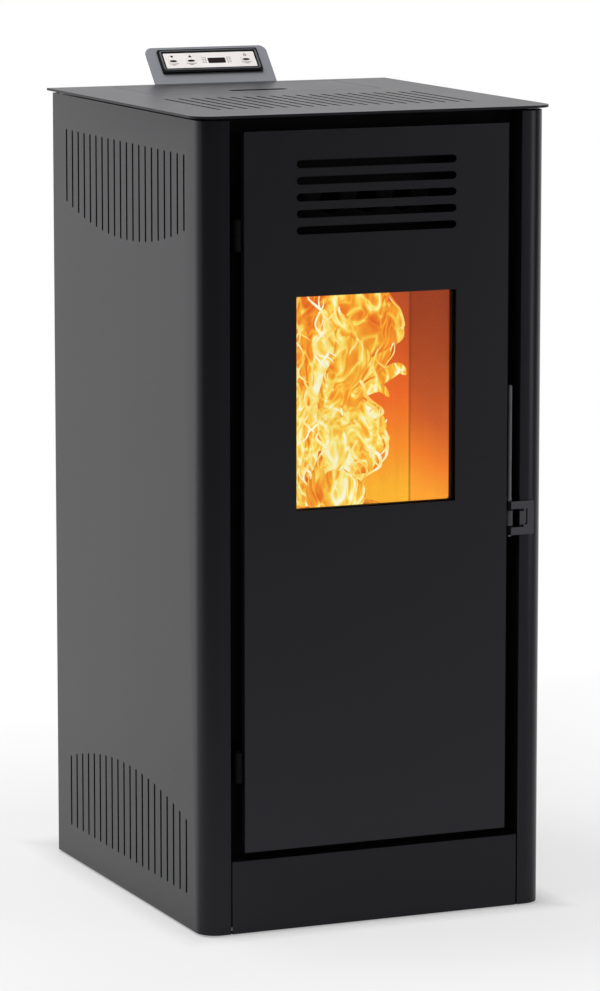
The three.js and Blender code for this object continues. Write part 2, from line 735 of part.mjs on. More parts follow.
function foot(x, y) {
  const profile = [
    [0, 0],
    [FOOT_R - FOOT_BEVEL, 0],
    [FOOT_R, FOOT_RIM_LOW],
    [FOOT_R, FOOT_RIM_HIGH],
    [FOOT_R - FOOT_SHOULDER, FOOT_H],
    [FOOT_STEM_R, FOOT_H],
    [FOOT_STEM_R, BASE_Z - SEAT],
    [0, BASE_Z - SEAT],
  ];
  return turned(profile).translate(x, y, 0);
}
for (const [depth, y] of [["front", frontY + FOOT_INSET], ["rear", rearY - FOOT_INSET]]) {
  piece(`foot_${depth}_left`, foot(-halfW + FOOT_INSET, y), RUBBER);
  piece(`foot_${depth}_right`, foot(halfW - FOOT_INSET, y), RUBBER);
}

function plinthPanel() {
  const z1 = bottomZ + PLINTH_H;
  const profile = polygon([
    [frontY, bottomZ],
    [frontY + PLINTH_LIP, bottomZ],
    [frontY + PLINTH_LIP, bottomZ + SHEET],
    [frontY + SHEET, bottomZ + SHEET],
    [frontY + SHEET, z1 - SHEET],
    [recessY - SEAT, z1 - SHEET],
    [recessY - SEAT, z1],
    [frontY, z1],
  ]);
  const x = recessX - PLINTH_JOINT;
  return prism(profile, "x", -x, x);
}
piece("plinth_panel", plinthPanel(), ANTHRACITE);

// The exchanger's row of tubes as solid bars, for the tubes themselves and for their holes.
function tubeRow(r, from, to) {
  const bars = [];
  for (let i = 0; i < TUBE_COUNT; i += 1) {
    bars.push(bar("y", tubeZ, (i - (TUBE_COUNT - 1) / 2) * TUBE_PITCH, r, from, to, TUBE_STEPS));
  }
  return mergeGeometries(bars);
}

function frontBulkhead() {
  const x = recessX - SEAT;
  const outline = roundedRect(bottomZ + SHEET + SEAT, topZ, -x, x, SEAT);
  const mouth = roundedRect(fireMouth.z0, fireMouth.z1, -fireMouth.x, fireMouth.x, FIREBOX_MOUTH_R);
  outline.holes.push(mouth);
  const vents = tubeRow(TUBE_R + TUBE_VENT_GAP, recessY - SHEET, recessY + 2 * SHEET);
  return cut(prism(outline, "y", recessY, recessY + SHEET), vents);
}
piece("front_bulkhead", frontBulkhead(), BLACK);

// ---------------------------------------------------------------- door

function doorPanel() {
  const shell = box(-door.x, door.x, door.y, door.y + DOOR_RETURN, door.z0, door.z1);
  const hollow = box(-door.x + SHEET, door.x - SHEET, door.y + SHEET, door.y + 2 * DOOR_RETURN,
    door.z0 + SHEET, door.z1 - SHEET);
  const window = box(win.x0, win.x1, door.y - SHEET, door.y + 2 * SHEET, win.z0, win.z1);
  const slots = [];
  for (let i = 0; i < GRILLE_COUNT; i += 1) {
    const z = door.z1 - GRILLE_TOP_DROP - i * GRILLE_PITCH;
    const slot = slotShape(z - GRILLE_SLOT_H / 2, z + GRILLE_SLOT_H / 2, win.x0, win.x1);
    slots.push(prism(slot, "y", door.y - SHEET, door.y + 2 * SHEET, SLOT_STEPS));
  }
  return cut(shell, hollow, window, mergeGeometries(slots));
}
piece("door_panel", doorPanel(), ANTHRACITE);

// Channel bars behind the door panel, one along each side; they carry hinges, latch and window frame.
const stiffener = { x1: door.x - SHEET - SEAT, y0: door.y + SHEET + SEAT, y1: frameY - SEAT };
stiffener.x0 = stiffener.x1 - STIFFENER_W;

function doorStiffener() {
  const z0 = door.z0 + 3 * SHEET;
  const z1 = door.z1 - 3 * SHEET;
  const profile = polygon([
    [stiffener.x0, stiffener.y0],
    [stiffener.x0 + STIFFENER_T, stiffener.y0],
    [stiffener.x0 + STIFFENER_T, stiffener.y1 - STIFFENER_T],
    [stiffener.x1 - STIFFENER_T, stiffener.y1 - STIFFENER_T],
    [stiffener.x1 - STIFFENER_T, stiffener.y0],
    [stiffener.x1, stiffener.y0],
    [stiffener.x1, stiffener.y1],
    [stiffener.x0, stiffener.y1],
  ]);
  return prism(profile, "z", z0, z1);
}
const plainStiffener = doorStiffener();
piece("door_stiffener_right", plainStiffener, BLACK);
piece("door_stiffener_left", mirrored(plainStiffener), BLACK);

function windowFrame() {
  const x = stiffener.x1;
  const z0 = fireMouth.z0 - 2 * SEAL_D - SEAL_MARGIN;
  const z1 = fireMouth.z1 + 2 * SEAL_D + SEAL_MARGIN;
  const outline = roundedRect(z0, z1, -x, x, FRAME_CORNER_R);
  outline.holes.push(roundedRect(win.z0, win.z1, win.x0, win.x1, WINDOW_CORNER_R));
  return prism(outline, "y", frameY, frameY + FRAME_T, SLOT_STEPS);
}
piece("window_frame", windowFrame(), CAST);

function windowGlass() {
  return box(win.x0 - GLASS_LAP, win.x1 + GLASS_LAP, glassY, glassY + GLASS_T, win.z0 - GLASS_LAP,
    win.z1 + GLASS_LAP);
}
piece("window_glass", windowGlass(), GLASS);

// Rope seal between the window frame and the bulkhead, round the firebox mouth.
function ropeSeal() {
  const depth = recessY - SEAT - sealY;
  const x = fireMouth.x + SEAL_D + SEAL_MARGIN;
  const z0 = fireMouth.z0 - SEAL_D - SEAL_MARGIN;
  const z1 = fireMouth.z1 + SEAL_D + SEAL_MARGIN;
  const outline = roundedRect(z0, z1, -x, x, SEAL_CORNER_R);
  outline.holes.push(roundedRect(z0 + SEAL_D, z1 - SEAL_D, -x + SEAL_D, x - SEAL_D,
    SEAL_INNER_R));
  return prism(outline, "y", sealY, sealY + depth, SLOT_STEPS);
}
piece("door_rope_seal", ropeSeal(), ROPE);

// ---------------------------------------------------------------- hinges

function hingeLug(z0) {
  const back = stiffener.y1 + SEAT;
  const leaf = back + HINGE_LEAF_T;
  const x0 = hinge.x - HINGE_R;
  const z1 = z0 + HINGE_H;
  const lug = join(
    bar("z", hinge.x, hinge.y, HINGE_R, z0, z1),
    box(x0, x0 + HINGE_NECK, hinge.y, leaf, z0, z1),
    box(x0, -stiffener.x1 + HINGE_LEAF_LAP, back, leaf, z0, z1),
  );
  const bore = bar("z", hinge.x, hinge.y, HINGE_PIN_R + RUNNING, z0 - OVERCUT, z1 + OVERCUT);
  return cut(lug, bore);
}

// Bracket on the bulkhead with the upright pin that the door's lug turns on.
function hingeBracket(z0) {
  const arm = box(hinge.x - HINGE_R, hinge.x + HINGE_R, hinge.y, recessY - SEAT, z0 - HINGE_H,
    z0 - SEAT);
  const end = bar("z", hinge.x, hinge.y, HINGE_R, z0 - HINGE_H, z0 - SEAT);
  const pin = bar("z", hinge.x, hinge.y, HINGE_PIN_R, z0 - OVERCUT,
    z0 + HINGE_H + HINGE_PIN_RISE);
  return join(arm, end, pin);
}
const hingeHeights = {
  lower: door.z0 + HINGE_INSET - HINGE_H / 2,
  upper: door.z1 - HINGE_INSET - HINGE_H / 2,
};
for (const [place, z0] of Object.entries(hingeHeights)) {
  piece(`hinge_lug_${place}`, hingeLug(z0), BLACK);
  piece(`hinge_bracket_${place}`, hingeBracket(z0), BLACK);
}

// ---------------------------------------------------------------- latch

const latchLow = latchZ - LATCH_MIDDLE_H / 2;
const latchHigh = latchZ + LATCH_MIDDLE_H / 2;

function latchBracket() {
  const z0 = latchLow + SEAT;
  const z1 = latchHigh - SEAT;
  const back = frameY + FRAME_T - OVERCUT;
  const webX = latch.x + LATCH_WEB_T / 2;
  const knuckle = bar("z", latch.x, latch.y, LATCH_KNUCKLE_R, z0, z1);
  const web = box(webX - LATCH_WEB_T, webX, latch.y, back, z0, z1);
  const foot = box(stiffener.x1 + SEAT, webX, frameY, back, z0, z1);
  const bore = bar("z", latch.x, latch.y, LATCH_PIN_R + RUNNING, z0 - OVERCUT, z1 + OVERCUT);
  return cut(join(knuckle, web, foot), bore);
}
piece("latch_bracket", latchBracket(), GREY);

// Plate over the right column with two ears that end in knuckles on the rod.
function latchPlate() {
  const y1 = frontY - SEAT;
  const y0 = y1 - LATCH_PLATE_T;
  const x1 = latch.x + LATCH_REACH;
  const x0 = x1 - LATCH_PLATE_W;
  const z0 = latchLow - LATCH_KNUCKLE_H;
  const z1 = latchHigh + LATCH_KNUCKLE_H;
  const shapes = [prism(roundedRect(z0, z1, x0, x1, LATCH_CORNER_R), "y", y0, y1)];
  for (const [low, high] of [[z0, latchLow], [latchHigh, z1]]) {
    const earLow = low === z0 ? low : high - LATCH_EAR_H;
    shapes.push(box(latch.x, x0 + LATCH_LAP, y0, y1, earLow, earLow + LATCH_EAR_H));
    shapes.push(bar("z", latch.x, latch.y, LATCH_KNUCKLE_R, low, high));
  }
  const low = latchLow + LATCH_TONGUE_GAP;
  const tongue = box(x0 - LATCH_TONGUE, x0 + LATCH_LAP, y0, y1, low, latchHigh - LATCH_TONGUE_GAP);
  const slitX = x0 + LATCH_SLIT_X;
  const slit = join(
    box(slitX, slitX + LATCH_SLIT_W, y0 - OVERCUT, y1 + OVERCUT, low, latchHigh + LATCH_SLIT_W),
    box(slitX - LATCH_SLIT_HOOK, slitX + LATCH_SLIT_W, y0 - OVERCUT, y1 + OVERCUT, low,
      low + LATCH_SLIT_W),
  );
  const bore = bar("z", latch.x, latch.y, LATCH_PIN_R + SEAT, z0 - OVERCUT, z1 + OVERCUT);
  return cut(join(...shapes, tongue), bore, slit);
}
piece("latch_plate", latchPlate(), GREY);

function latchRod() {
  const z0 = latchLow - LATCH_KNUCKLE_H - LATCH_ROD_DROP;
  const collar = latchHigh + LATCH_KNUCKLE_H + SEAT;
  const collarTop = collar + LATCH_COLLAR_H;
  const top = collar + LATCH_ROD_RISE;
  const profile = [
    [0, z0],
    [LATCH_PIN_R, z0],
    [LATCH_PIN_R, collar],
    [LATCH_COLLAR_R, collar + LATCH_COLLAR_BEVEL],
    [LATCH_COLLAR_R, collarTop - 2 * LATCH_COLLAR_BEVEL],
    [LATCH_PIN_R, collarTop],
    [LATCH_PIN_R, top - LATCH_COLLAR_BEVEL],
    [LATCH_PIN_R - LATCH_COLLAR_BEVEL, top],
    [0, top],
  ];
  return turned(profile).translate(latch.x, latch.y, 0);
}
piece("latch_rod", latchRod(), GREY);

// ---------------------------------------------------------------- hopper, lid and auger

function pelletHopper() {
  const { x } = hopper;
  const t = HOPPER_T;
  const out = HOPPER_OUTLET / 2;
  const top = plateZ - SEAT;
  const wall = loft([
    [-out, out, throatY - out, throatY + out, hopper.outlet],
    [-x, x, hopper.front, hopper.rear, hopper.bin],
    [-x, x, hopper.front, hopper.rear, top],
  ]);
  const inner = loft([
    [-out + t, out - t, throatY - out + t, throatY + out - t, hopper.outlet - OVERCUT],
    [-x + t, x - t, hopper.front + t, hopper.rear - t, hopper.bin],
    [-x + t, x - t, hopper.front + t, hopper.rear - t, top + OVERCUT],
  ]);
  return cut(wall, inner);
}
piece("pellet_hopper", pelletHopper(), STEEL);

function hopperLid() {
  const sheet = box(-LID_W / 2, LID_W / 2, lid.front, lid.rear, plateTopZ - LID_T, plateTopZ);
  const fingerY = lid.front + FINGER_INSET;
  const slot = slotShape(-FINGER_W / 2, FINGER_W / 2, fingerY - FINGER_H / 2,
    fingerY + FINGER_H / 2);
  const finger = prism(slot, "z", plateTopZ - 3 * LID_T, plateTopZ + LID_T);
  const knuckles = [-1, 1].map((side) => {
    const middle = side * (LID_W / 2 - LID_KNUCKLE_INSET - LID_KNUCKLE_W / 2);
    const x0 = middle - LID_KNUCKLE_W / 2;
    return join(
      bar("x", lidAxis.y, lidAxis.z, LID_KNUCKLE_R, x0, x0 + LID_KNUCKLE_W),
      box(x0, x0 + LID_KNUCKLE_W, lidAxis.y - LID_KNUCKLE_R, lidAxis.y, lidAxis.z,
        plateTopZ - LID_T / 2),
    );
  });
  const bore = bar("x", lidAxis.y, lidAxis.z, LID_PIN_R + RUNNING, -LID_W / 2, LID_W / 2);
  return cut(join(cut(sheet, finger), ...knuckles), bore);
}
piece("hopper_lid", hopperLid(), ANTHRACITE);

piece("lid_hinge_pin", bar("x", lidAxis.y, lidAxis.z, LID_PIN_R, -lidPinX, lidPinX), STEEL);

// A geometry built along +Z from the origin, laid along the auger's axis.
function alongAuger(geometry) {
  const turn = new THREE.Quaternion().setFromUnitVectors(new THREE.Vector3(0, 0, 1), augerUp);
  return geometry.applyQuaternion(turn).translate(augerFoot.x, augerFoot.y, augerFoot.z);
}

function augerTube() {
  const r = AUGER_R + AUGER_T;
  const out = HOPPER_OUTLET / 2 - HOPPER_T - SEAT;
  const throatTop = hopper.outlet + THROAT_LAP;
  const collarX = out + THROAT_COLLAR;
  const tube = alongAuger(bar("z", 0, 0, r, 0, augerLength + 2 * r));
  const throat = box(-out, out, throatY - out, throatY + out, augerZ, throatTop);
  const collar = box(-collarX, collarX, throatY - collarX, throatY + collarX,
    hopper.outlet - THROAT_COLLAR_H, hopper.outlet - SEAT);
  const bore = alongAuger(bar("z", 0, 0, AUGER_R, AUGER_T, augerLength + 3 * r));
  const throatBore = box(-out + AUGER_T, out - AUGER_T, throatY - out + AUGER_T,
    throatY + out - AUGER_T, augerZ, throatTop + OVERCUT);
  const shaftHole = alongAuger(bar("z", 0, 0, AUGER_SHAFT_R + RUNNING, -OVERCUT,
    AUGER_T + OVERCUT));
  const behindWall = box(-FIREBOX_W, FIREBOX_W, firebox.rear - FIREBOX_W, firebox.rear + SEAT,
    firebox.bottom, firebox.top);
  return cut(join(tube, throat, collar), bore, throatBore, shaftHole, behindWall);
}
piece("auger_tube", augerTube(), STEEL);

// Helical blade of rectangular section on a round shaft, built along +Z.
function augerScrew() {
  const r = AUGER_R - AUGER_CLEAR;
  const root = AUGER_SHAFT_R - OVERCUT;
  const length = augerLength - AUGER_SHORT;
  const steps = Math.round((length / AUGER_PITCH) * AUGER_FACETS);
  const section = [[root, 0], [r, 0], [r, AUGER_BLADE_T], [root, AUGER_BLADE_T]];
  const verts = [];
  for (let i = 0; i <= steps; i += 1) {
    const angle = (i / AUGER_FACETS) * 2 * Math.PI;
    const z = AUGER_T + AUGER_START + (i / steps) * length;
    for (const [radius, rise] of section) {
      verts.push(radius * Math.cos(angle), radius * Math.sin(angle), z + rise);
    }
  }
  const faces = [0, 1, 2, 0, 2, 3];
  for (let i = 0; i < steps; i += 1) {
    for (let k = 0; k < 4; k += 1) {
      const a = 4 * i + k;
      const b = 4 * i + ((k + 1) % 4);
      faces.push(a, b + 4, b, a, a + 4, b + 4);
    }
  }
  const end = 4 * steps;
  faces.push(end, end + 2, end + 1, end, end + 3, end + 2);
  const blade = new THREE.BufferGeometry();
  blade.setAttribute("position", new THREE.Float32BufferAttribute(verts, 3));
  blade.setIndex(faces);
  const shaft = bar("z", 0, 0, AUGER_SHAFT_R, -SEAT - AUGER_DRIVE,
    AUGER_T + AUGER_START + length + AUGER_BLADE_T);
  return alongAuger(join(blade, shaft));
}
piece("auger_screw", augerScrew(), STEEL);

function augerMotor() {
  const half = MOTOR_W / 2;
  const gearbox = box(-half, half, -half, half, -GEARBOX_L, -SEAT);
  const can = bar("z", 0, 0, MOTOR_CAN_R, -MOTOR_L, OVERCUT - GEARBOX_L);
  const bore = bar("z", 0, 0, AUGER_SHAFT_R + RUNNING, -MOTOR_BORE, OVERCUT);
  return alongAuger(cut(join(gearbox, can), bore));
}
piece("auger_motor", augerMotor(), BLACK);

// ---------------------------------------------------------------- firebox

const chuteCut = () => alongAuger(bar("z", 0, 0, AUGER_R + AUGER_T + SEAT, 0, 2 * augerLength));

// The igniter lies level behind the pot and ends just short of it.
const igniterBar = (r) =>
  bar("y", pot.top - IGNITER_DROP, 0, r, pot.y + POT_D / 2 + IGNITER_GAP,
    firebox.rear + DUCT_D + IGNITER_TAIL);

const airHole = (from, to) => bar("z", INTAKE_X, pot.y, INTAKE_R - INTAKE_T, from, to);

function fireboxShell() {
  const shell = box(-firebox.x, firebox.x, firebox.front, firebox.rear, firebox.bottom, firebox.top);
  const t = FIREBOX_T;
  const room = box(-firebox.innerX, firebox.innerX, firebox.front + t, firebox.innerRear,
    firebox.floor, firebox.top - t);
  const mouth = box(-fireMouth.x, fireMouth.x, firebox.front - OVERCUT,
    firebox.front + t + OVERCUT, fireMouth.z0, fireMouth.z1);
  const port = box(-firebox.x - OVERCUT, -firebox.innerX + OVERCUT, smokePort.y0, smokePort.y1,
    smokePort.z0, smokePort.z1);
  const tubes = tubeRow(TUBE_R + SEAT, firebox.front - OVERCUT, firebox.rear + OVERCUT);
  const walls = cut(shell, room, mouth, port, tubes, igniterBar(IGNITER_R + SEAT),
    airHole(firebox.bottom - OVERCUT, firebox.floor + OVERCUT));
  const seat = box(-firebox.innerX, firebox.innerX, firebox.rear - t, firebox.rear, firebox.bottom,
    firebox.top);
  const hole = toSolid(chuteCut()).intersect(toSolid(seat));
  return toGeometry(toSolid(walls).subtract(hole));
}
piece("firebox_shell", fireboxShell(), CAST);

const linerTop = baffleZ - SEAT;
function sideLiner() {
  const x1 = -firebox.innerX + SEAT + LINER_T;
  return box(-firebox.innerX + SEAT, x1, firebox.front + FIREBOX_T + SEAT, firebox.innerRear - SEAT,
    firebox.floor + SEAT, linerTop);
}
piece("firebox_liner_left", sideLiner(), VERMICULITE);
piece("firebox_liner_right", mirrored(sideLiner()), VERMICULITE);

const linerInner = firebox.innerX - LINER_T - 2 * SEAT;
function backLiner() {
  const slab = box(-linerInner, linerInner, firebox.innerRear - SEAT - LINER_T,
    firebox.innerRear - SEAT, firebox.floor + SEAT, linerTop);
  return cut(slab, chuteCut(), igniterBar(IGNITER_R + SEAT));
}
piece("firebox_liner_back", backLiner(), VERMICULITE);

function smokeBaffle() {
  return box(-firebox.innerX + SEAT, firebox.innerX - SEAT, firebox.front + BAFFLE_SLOT,
    firebox.innerRear - SEAT, baffleZ, baffleZ + BAFFLE_T);
}
piece("smoke_baffle", smokeBaffle(), VERMICULITE);

const holderTop = pot.top - POT_T - SEAT;
function burnPotHolder() {
  const x = POT_W / 2 + HOLDER_LAP;
  const y = POT_D / 2 + HOLDER_LAP;
  const outer = box(-x, x, pot.y - y, pot.y + y, firebox.floor + PAN_T + 2 * SEAT, holderTop);
  const inner = box(-x + HOLDER_T, x - HOLDER_T, pot.y - y + HOLDER_T, pot.y + y - HOLDER_T,
    firebox.floor - OVERCUT, holderTop - HOLDER_T);
  const mouthX = POT_W / 2 + POT_GAP;
  const mouthY = POT_D / 2 + POT_GAP;
  const mouth = box(-mouthX, mouthX, pot.y - mouthY, pot.y + mouthY, holderTop - 2 * HOLDER_T,
    holderTop + OVERCUT);
  return cut(outer, inner, mouth, igniterBar(IGNITER_R + SEAT));
}
piece("burn_pot_holder", burnPotHolder(), CAST);
piece("igniter", igniterBar(IGNITER_R), CERAMIC);

function burnPot() {
  const x = POT_W / 2;
  const y = POT_D / 2;
  const rim = box(-x - POT_RIM, x + POT_RIM, pot.y - y - POT_RIM, pot.y + y + POT_RIM,
    pot.top - POT_T, pot.top);
  const cup = box(-x, x, pot.y - y, pot.y + y, pot.top - POT_H, pot.top - OVERCUT);
  const room = box(-x + POT_T, x - POT_T, pot.y - y + POT_T, pot.y + y - POT_T,
    pot.top - POT_H + POT_T, pot.top + OVERCUT);
  const holes = [];
  for (let i = 1; i <= POT_HOLE_COLUMNS; i += 1) {
    for (let j = 1; j <= POT_HOLE_ROWS; j += 1) {
      const holeX = -x + (i * POT_W) / (POT_HOLE_COLUMNS + 1);
      const holeY = pot.y - y + (j * POT_D) / (POT_HOLE_ROWS + 1);
      holes.push(bar("z", holeX, holeY, POT_HOLE_R, pot.top - POT_H - OVERCUT,
        pot.top - POT_H + POT_T + OVERCUT, SLOT_STEPS));
    }
  }
  return cut(join(rim, cup), room, mergeGeometries(holes));
}
piece("burn_pot", burnPot(), CAST);

// Ash pan on the firebox floor, with the pot holder standing in it.
function ashPan() {
  const x = linerInner - PAN_GAP;
  const front = firebox.front + FIREBOX_T + PAN_GAP;
  const rear = firebox.innerRear - SEAT - LINER_T - PAN_REAR_GAP;
  const z0 = firebox.floor + SEAT;
  const tray = box(-x, x, front, rear, z0, z0 + PAN_H);
  const room = box(-x + PAN_T, x - PAN_T, front + PAN_T, rear - PAN_T, z0 + PAN_T,
    z0 + PAN_H + OVERCUT);
  const drain = airHole(z0 - OVERCUT, z0 + PAN_T + OVERCUT);
  return cut(tray, room, igniterBar(IGNITER_R + IGNITER_GAP), drain);
}
piece("ash_pan", ashPan(), STEEL);

// ---------------------------------------------------------------- heat exchanger and smoke path

// Tubes between two end plates; room air is blown through them.
function heatExchanger() {
  const front = recessY + SHEET + 2 * SEAT + FIREBOX_T;
  const rear = firebox.innerRear - SEAT - EXCHANGER_PLATE_T;
  const x = firebox.innerX - EXCHANGER_GAP;
  const reach = TUBE_R + EXCHANGER_MARGIN;
  const plate = (y) => box(-x, x, y, y + EXCHANGER_PLATE_T, tubeZ - reach, tubeZ + reach);
  const skin = tubeRow(TUBE_R, firebox.front, firebox.rear - SEAT);
  const bores = tubeRow(TUBE_R - TUBE_T, firebox.front - OVERCUT, firebox.rear + OVERCUT);
  return cut(join(plate(front + SEAT), plate(rear), skin), bores);
}
piece("heat_exchanger", heatExchanger(), STEEL);

function smokeDuct() {
  const y0 = smokeDuctY - SMOKE_DUCT_D / 2;
  const y1 = smokeDuctY + SMOKE_DUCT_D / 2;
  const t = SMOKE_DUCT_T;
  const z0 = exhaust.z + EXHAUST_R + SEAT;
  const z1 = smokePort.z1 + SMOKE_DUCT_HEAD;
  const outer = box(ductX0, ductX1, y0, y1, z0, z1);
  const inner = box(ductX0 + t, ductX1 - t, y0 + t, y1 - t, z0 - OVERCUT, z1 - t);
  const port = box(ductX1 - 2 * t, ductX1 + OVERCUT, smokePort.y0, smokePort.y1, smokePort.z0,
    smokePort.z1);
  return cut(outer, inner, port);
}
piece("smoke_duct", smokeDuct(), STEEL);

// Volute with an axial eye on the duct's side and its outlet towards the flue.
function exhaustHousing() {
  const t = EXHAUST_T;
  const { x0, x1, y } = exhaust;
  const low = exhaust.z - EXHAUST_R;
  const half = EXHAUST_STAND / 2;
  const outlet = (g) => box(x0 + g, x1 - g, y, exhaust.outY - g, low + g, low + 2 * FLUE_R - g);
  const body = join(
    bar("x", y, exhaust.z, EXHAUST_R, x0, x1),
    outlet(0),
    box(flue.x - half, flue.x + half, y - half, y + half, BASE_Z + BASE_T + SEAT, low + t),
  );
  const room = join(bar("x", y, exhaust.z, EXHAUST_R - t, x0 + t, x1 - t), outlet(t));
  const eye = bar("x", y, exhaust.z, EXHAUST_EYE_R, x0 - OVERCUT, x0 + t + OVERCUT);
  const shaft = bar("x", y, exhaust.z, SHAFT_R + RUNNING, x1 - t - OVERCUT, x1 + OVERCUT);
  const mouth = bar("y", flue.z, flue.x, FLUE_R - FLUE_T - OVERCUT, exhaust.outY - t - OVERCUT,
    exhaust.outY + OVERCUT);
  return cut(body, room, eye, shaft, mouth);
}
piece("exhaust_fan_housing", exhaustHousing(), CAST);

function bladeRing(count, axisY, axisZ, inner, outer, x0, x1, thick) {
  const blades = [];
  for (let i = 0; i < count; i += 1) {
    const blade = box(x0, x1, inner, outer, -thick / 2, thick / 2);
    blades.push(blade.rotateX((i / count) * 2 * Math.PI).translate(0, axisY, axisZ));
  }
  return mergeGeometries(blades);
}

function exhaustImpeller() {
  const { x1, y } = exhaust;
  const disc0 = x1 - EXHAUST_T - IMPELLER_GAP;
  const lap = disc0 + IMPELLER_DISC_T / 2;
  const shaftEnd = x1 + SEAT + MOTOR_SHAFT_L;
  return join(
    bar("x", y, exhaust.z, IMPELLER_R, disc0, disc0 + IMPELLER_DISC_T),
    bar("x", y, exhaust.z, IMPELLER_HUB_R, disc0 - IMPELLER_HUB_L, lap),
    bar("x", y, exhaust.z, SHAFT_R, disc0 - OVERCUT, shaftEnd),
    bladeRing(IMPELLER_BLADES, y, exhaust.z, IMPELLER_BLADE_R, IMPELLER_R - OVERCUT,
      disc0 - IMPELLER_BLADE_L, lap, IMPELLER_BLADE_T),
  );
}
piece("exhaust_impeller", exhaustImpeller(), STEEL);

function exhaustMotor() {
  const x0 = exhaust.x1 + SEAT;
  const can = bar("x", exhaust.y, exhaust.z, EXHAUST_MOTOR_R, x0, x0 + EXHAUST_MOTOR_L);
  const bore = bar("x", exhaust.y, exhaust.z, SHAFT_R + RUNNING, x0 - OVERCUT,
    x0 + MOTOR_SHAFT_L + 2 * OVERCUT);
  return cut(can, bore);
}
piece("exhaust_motor", exhaustMotor(), BLACK);

piece("flue_collar", pipe("y", flue.z, flue.x, FLUE_R, FLUE_T, exhaust.outY + SEAT,
  rearY + FLUE_STUB, PIPE_STEPS), STEEL);

// Duct behind the firebox: room air rises in it from the blower to the exchanger's tubes.
const blowerY = firebox.rear + SEAT + DUCT_D / 2;
const kneeZ = firebox.bottom - DUCT_KNEE_DROP;
const blowerTop = BLOWER_Z + BLOWER_R + BLOWER_WALL;
function airDuct() {
  const x = firebox.x - DUCT_INSET;
  const top = firebox.top - DUCT_TOP_DROP;
  const y0 = firebox.rear + SEAT;
  const y1 = y0 + DUCT_D;
  const low = BLOWER_X - BLOWER_L / 2;
  const t = DUCT_T;
  const outer = join(
    box(-x, x, y0, y1, kneeZ, top),
    box(low, x, y0, y1, blowerTop + SEAT, kneeZ + OVERCUT),
  );
  const upper = box(-x + t, x - t, y0 - OVERCUT, y1 - t, firebox.bottom + t, top - t);
  const knee = box(-x + t, x - t, y0 + t, y1 - t, kneeZ + t, firebox.bottom + 2 * t);
  const riser = box(low + t, x - t, y0 + t, y1 - t, blowerTop, kneeZ + 2 * t);
  return cut(outer, join(upper, knee, riser), chuteCut(), igniterBar(IGNITER_R + SEAT));
}
piece("air_duct", airDuct(), STEEL);

function blowerHousing() {
  const x0 = BLOWER_X - BLOWER_L / 2;
  const x1 = BLOWER_X + BLOWER_L / 2;
  const t = BLOWER_T;
  const reach = BLOWER_R + BLOWER_WALL;
  const outer = box(x0, x1, blowerY - reach, blowerY + reach, BASE_Z + BASE_T + SEAT, blowerTop);
  const room = bar("x", blowerY, BLOWER_Z, BLOWER_R + BLOWER_CLEAR, x0 + t, x1 - t);
  const outlet = box(x0 + t, x1 - t, blowerY - DUCT_D / 2 + t, blowerY + DUCT_D / 2 - t, BLOWER_Z,
    blowerTop + OVERCUT);
  const inlet = box(x0 + t, x1 - t, blowerY, blowerY + reach + OVERCUT,
    BLOWER_Z - BLOWER_R + BLOWER_CLEAR, BLOWER_Z + BLOWER_R - BLOWER_INLET_DROP);
  const below = box(x0 + t, x1 - t, blowerY - reach - OVERCUT, blowerY + reach + OVERCUT, BASE_Z,
    BLOWER_Z - BLOWER_R - BLOWER_UNDER);
  const bearing = bar("x", blowerY, BLOWER_Z, SHAFT_R + RUNNING, x0 - OVERCUT, x1 + OVERCUT);
  return cut(outer, room, outlet, inlet, below, bearing);
}
piece("blower_housing", blowerHousing(), BLACK);

function blowerRotor() {
  const x0 = BLOWER_X - BLOWER_L / 2;
  const x1 = BLOWER_X + BLOWER_L / 2;
  const end = BLOWER_T + BLOWER_END_GAP;
  const outer = BLOWER_R - BLOWER_RIM;
  return join(
    bar("x", blowerY, BLOWER_Z, SHAFT_R, x0 + SEAT, x1 - SEAT),
    bar("x", blowerY, BLOWER_Z, BLOWER_R, x0 + end, x0 + end + BLOWER_T),
    bar("x", blowerY, BLOWER_Z, BLOWER_R, x1 - end - BLOWER_T, x1 - end),
    bladeRing(BLOWER_BLADES, blowerY, BLOWER_Z, outer - BLOWER_BLADE_D, outer, x0 + end + OVERCUT,
      x1 - end - OVERCUT, BLOWER_BLADE_T),
  );
}
piece("blower_rotor", blowerRotor(), STEEL);

// Combustion air: in at the back, along under the firebox and up through its floor.
function airIntake() {
  const r = INTAKE_R;
  const inner = r - INTAKE_T;
  const top = firebox.bottom - SEAT;
  return cut(
    join(
      bar("y", intakeZ, INTAKE_X, r, pot.y, rearY + INTAKE_STUB, PIPE_STEPS),
      bar("z", INTAKE_X, pot.y, r, intakeZ - r, top, PIPE_STEPS),
    ),
    bar("y", intakeZ, INTAKE_X, inner, pot.y, rearY + INTAKE_STUB + OVERCUT, PIPE_STEPS),
    bar("z", INTAKE_X, pot.y, inner, intakeZ - inner, top + OVERCUT, PIPE_STEPS),
  );
}
piece("air_intake_pipe", airIntake(), STEEL);

// ---------------------------------------------------------------- electrics

const rocker = { y: rearY - ROCKER_SETBACK, z: INLET_Z + ROCKER_RISE };

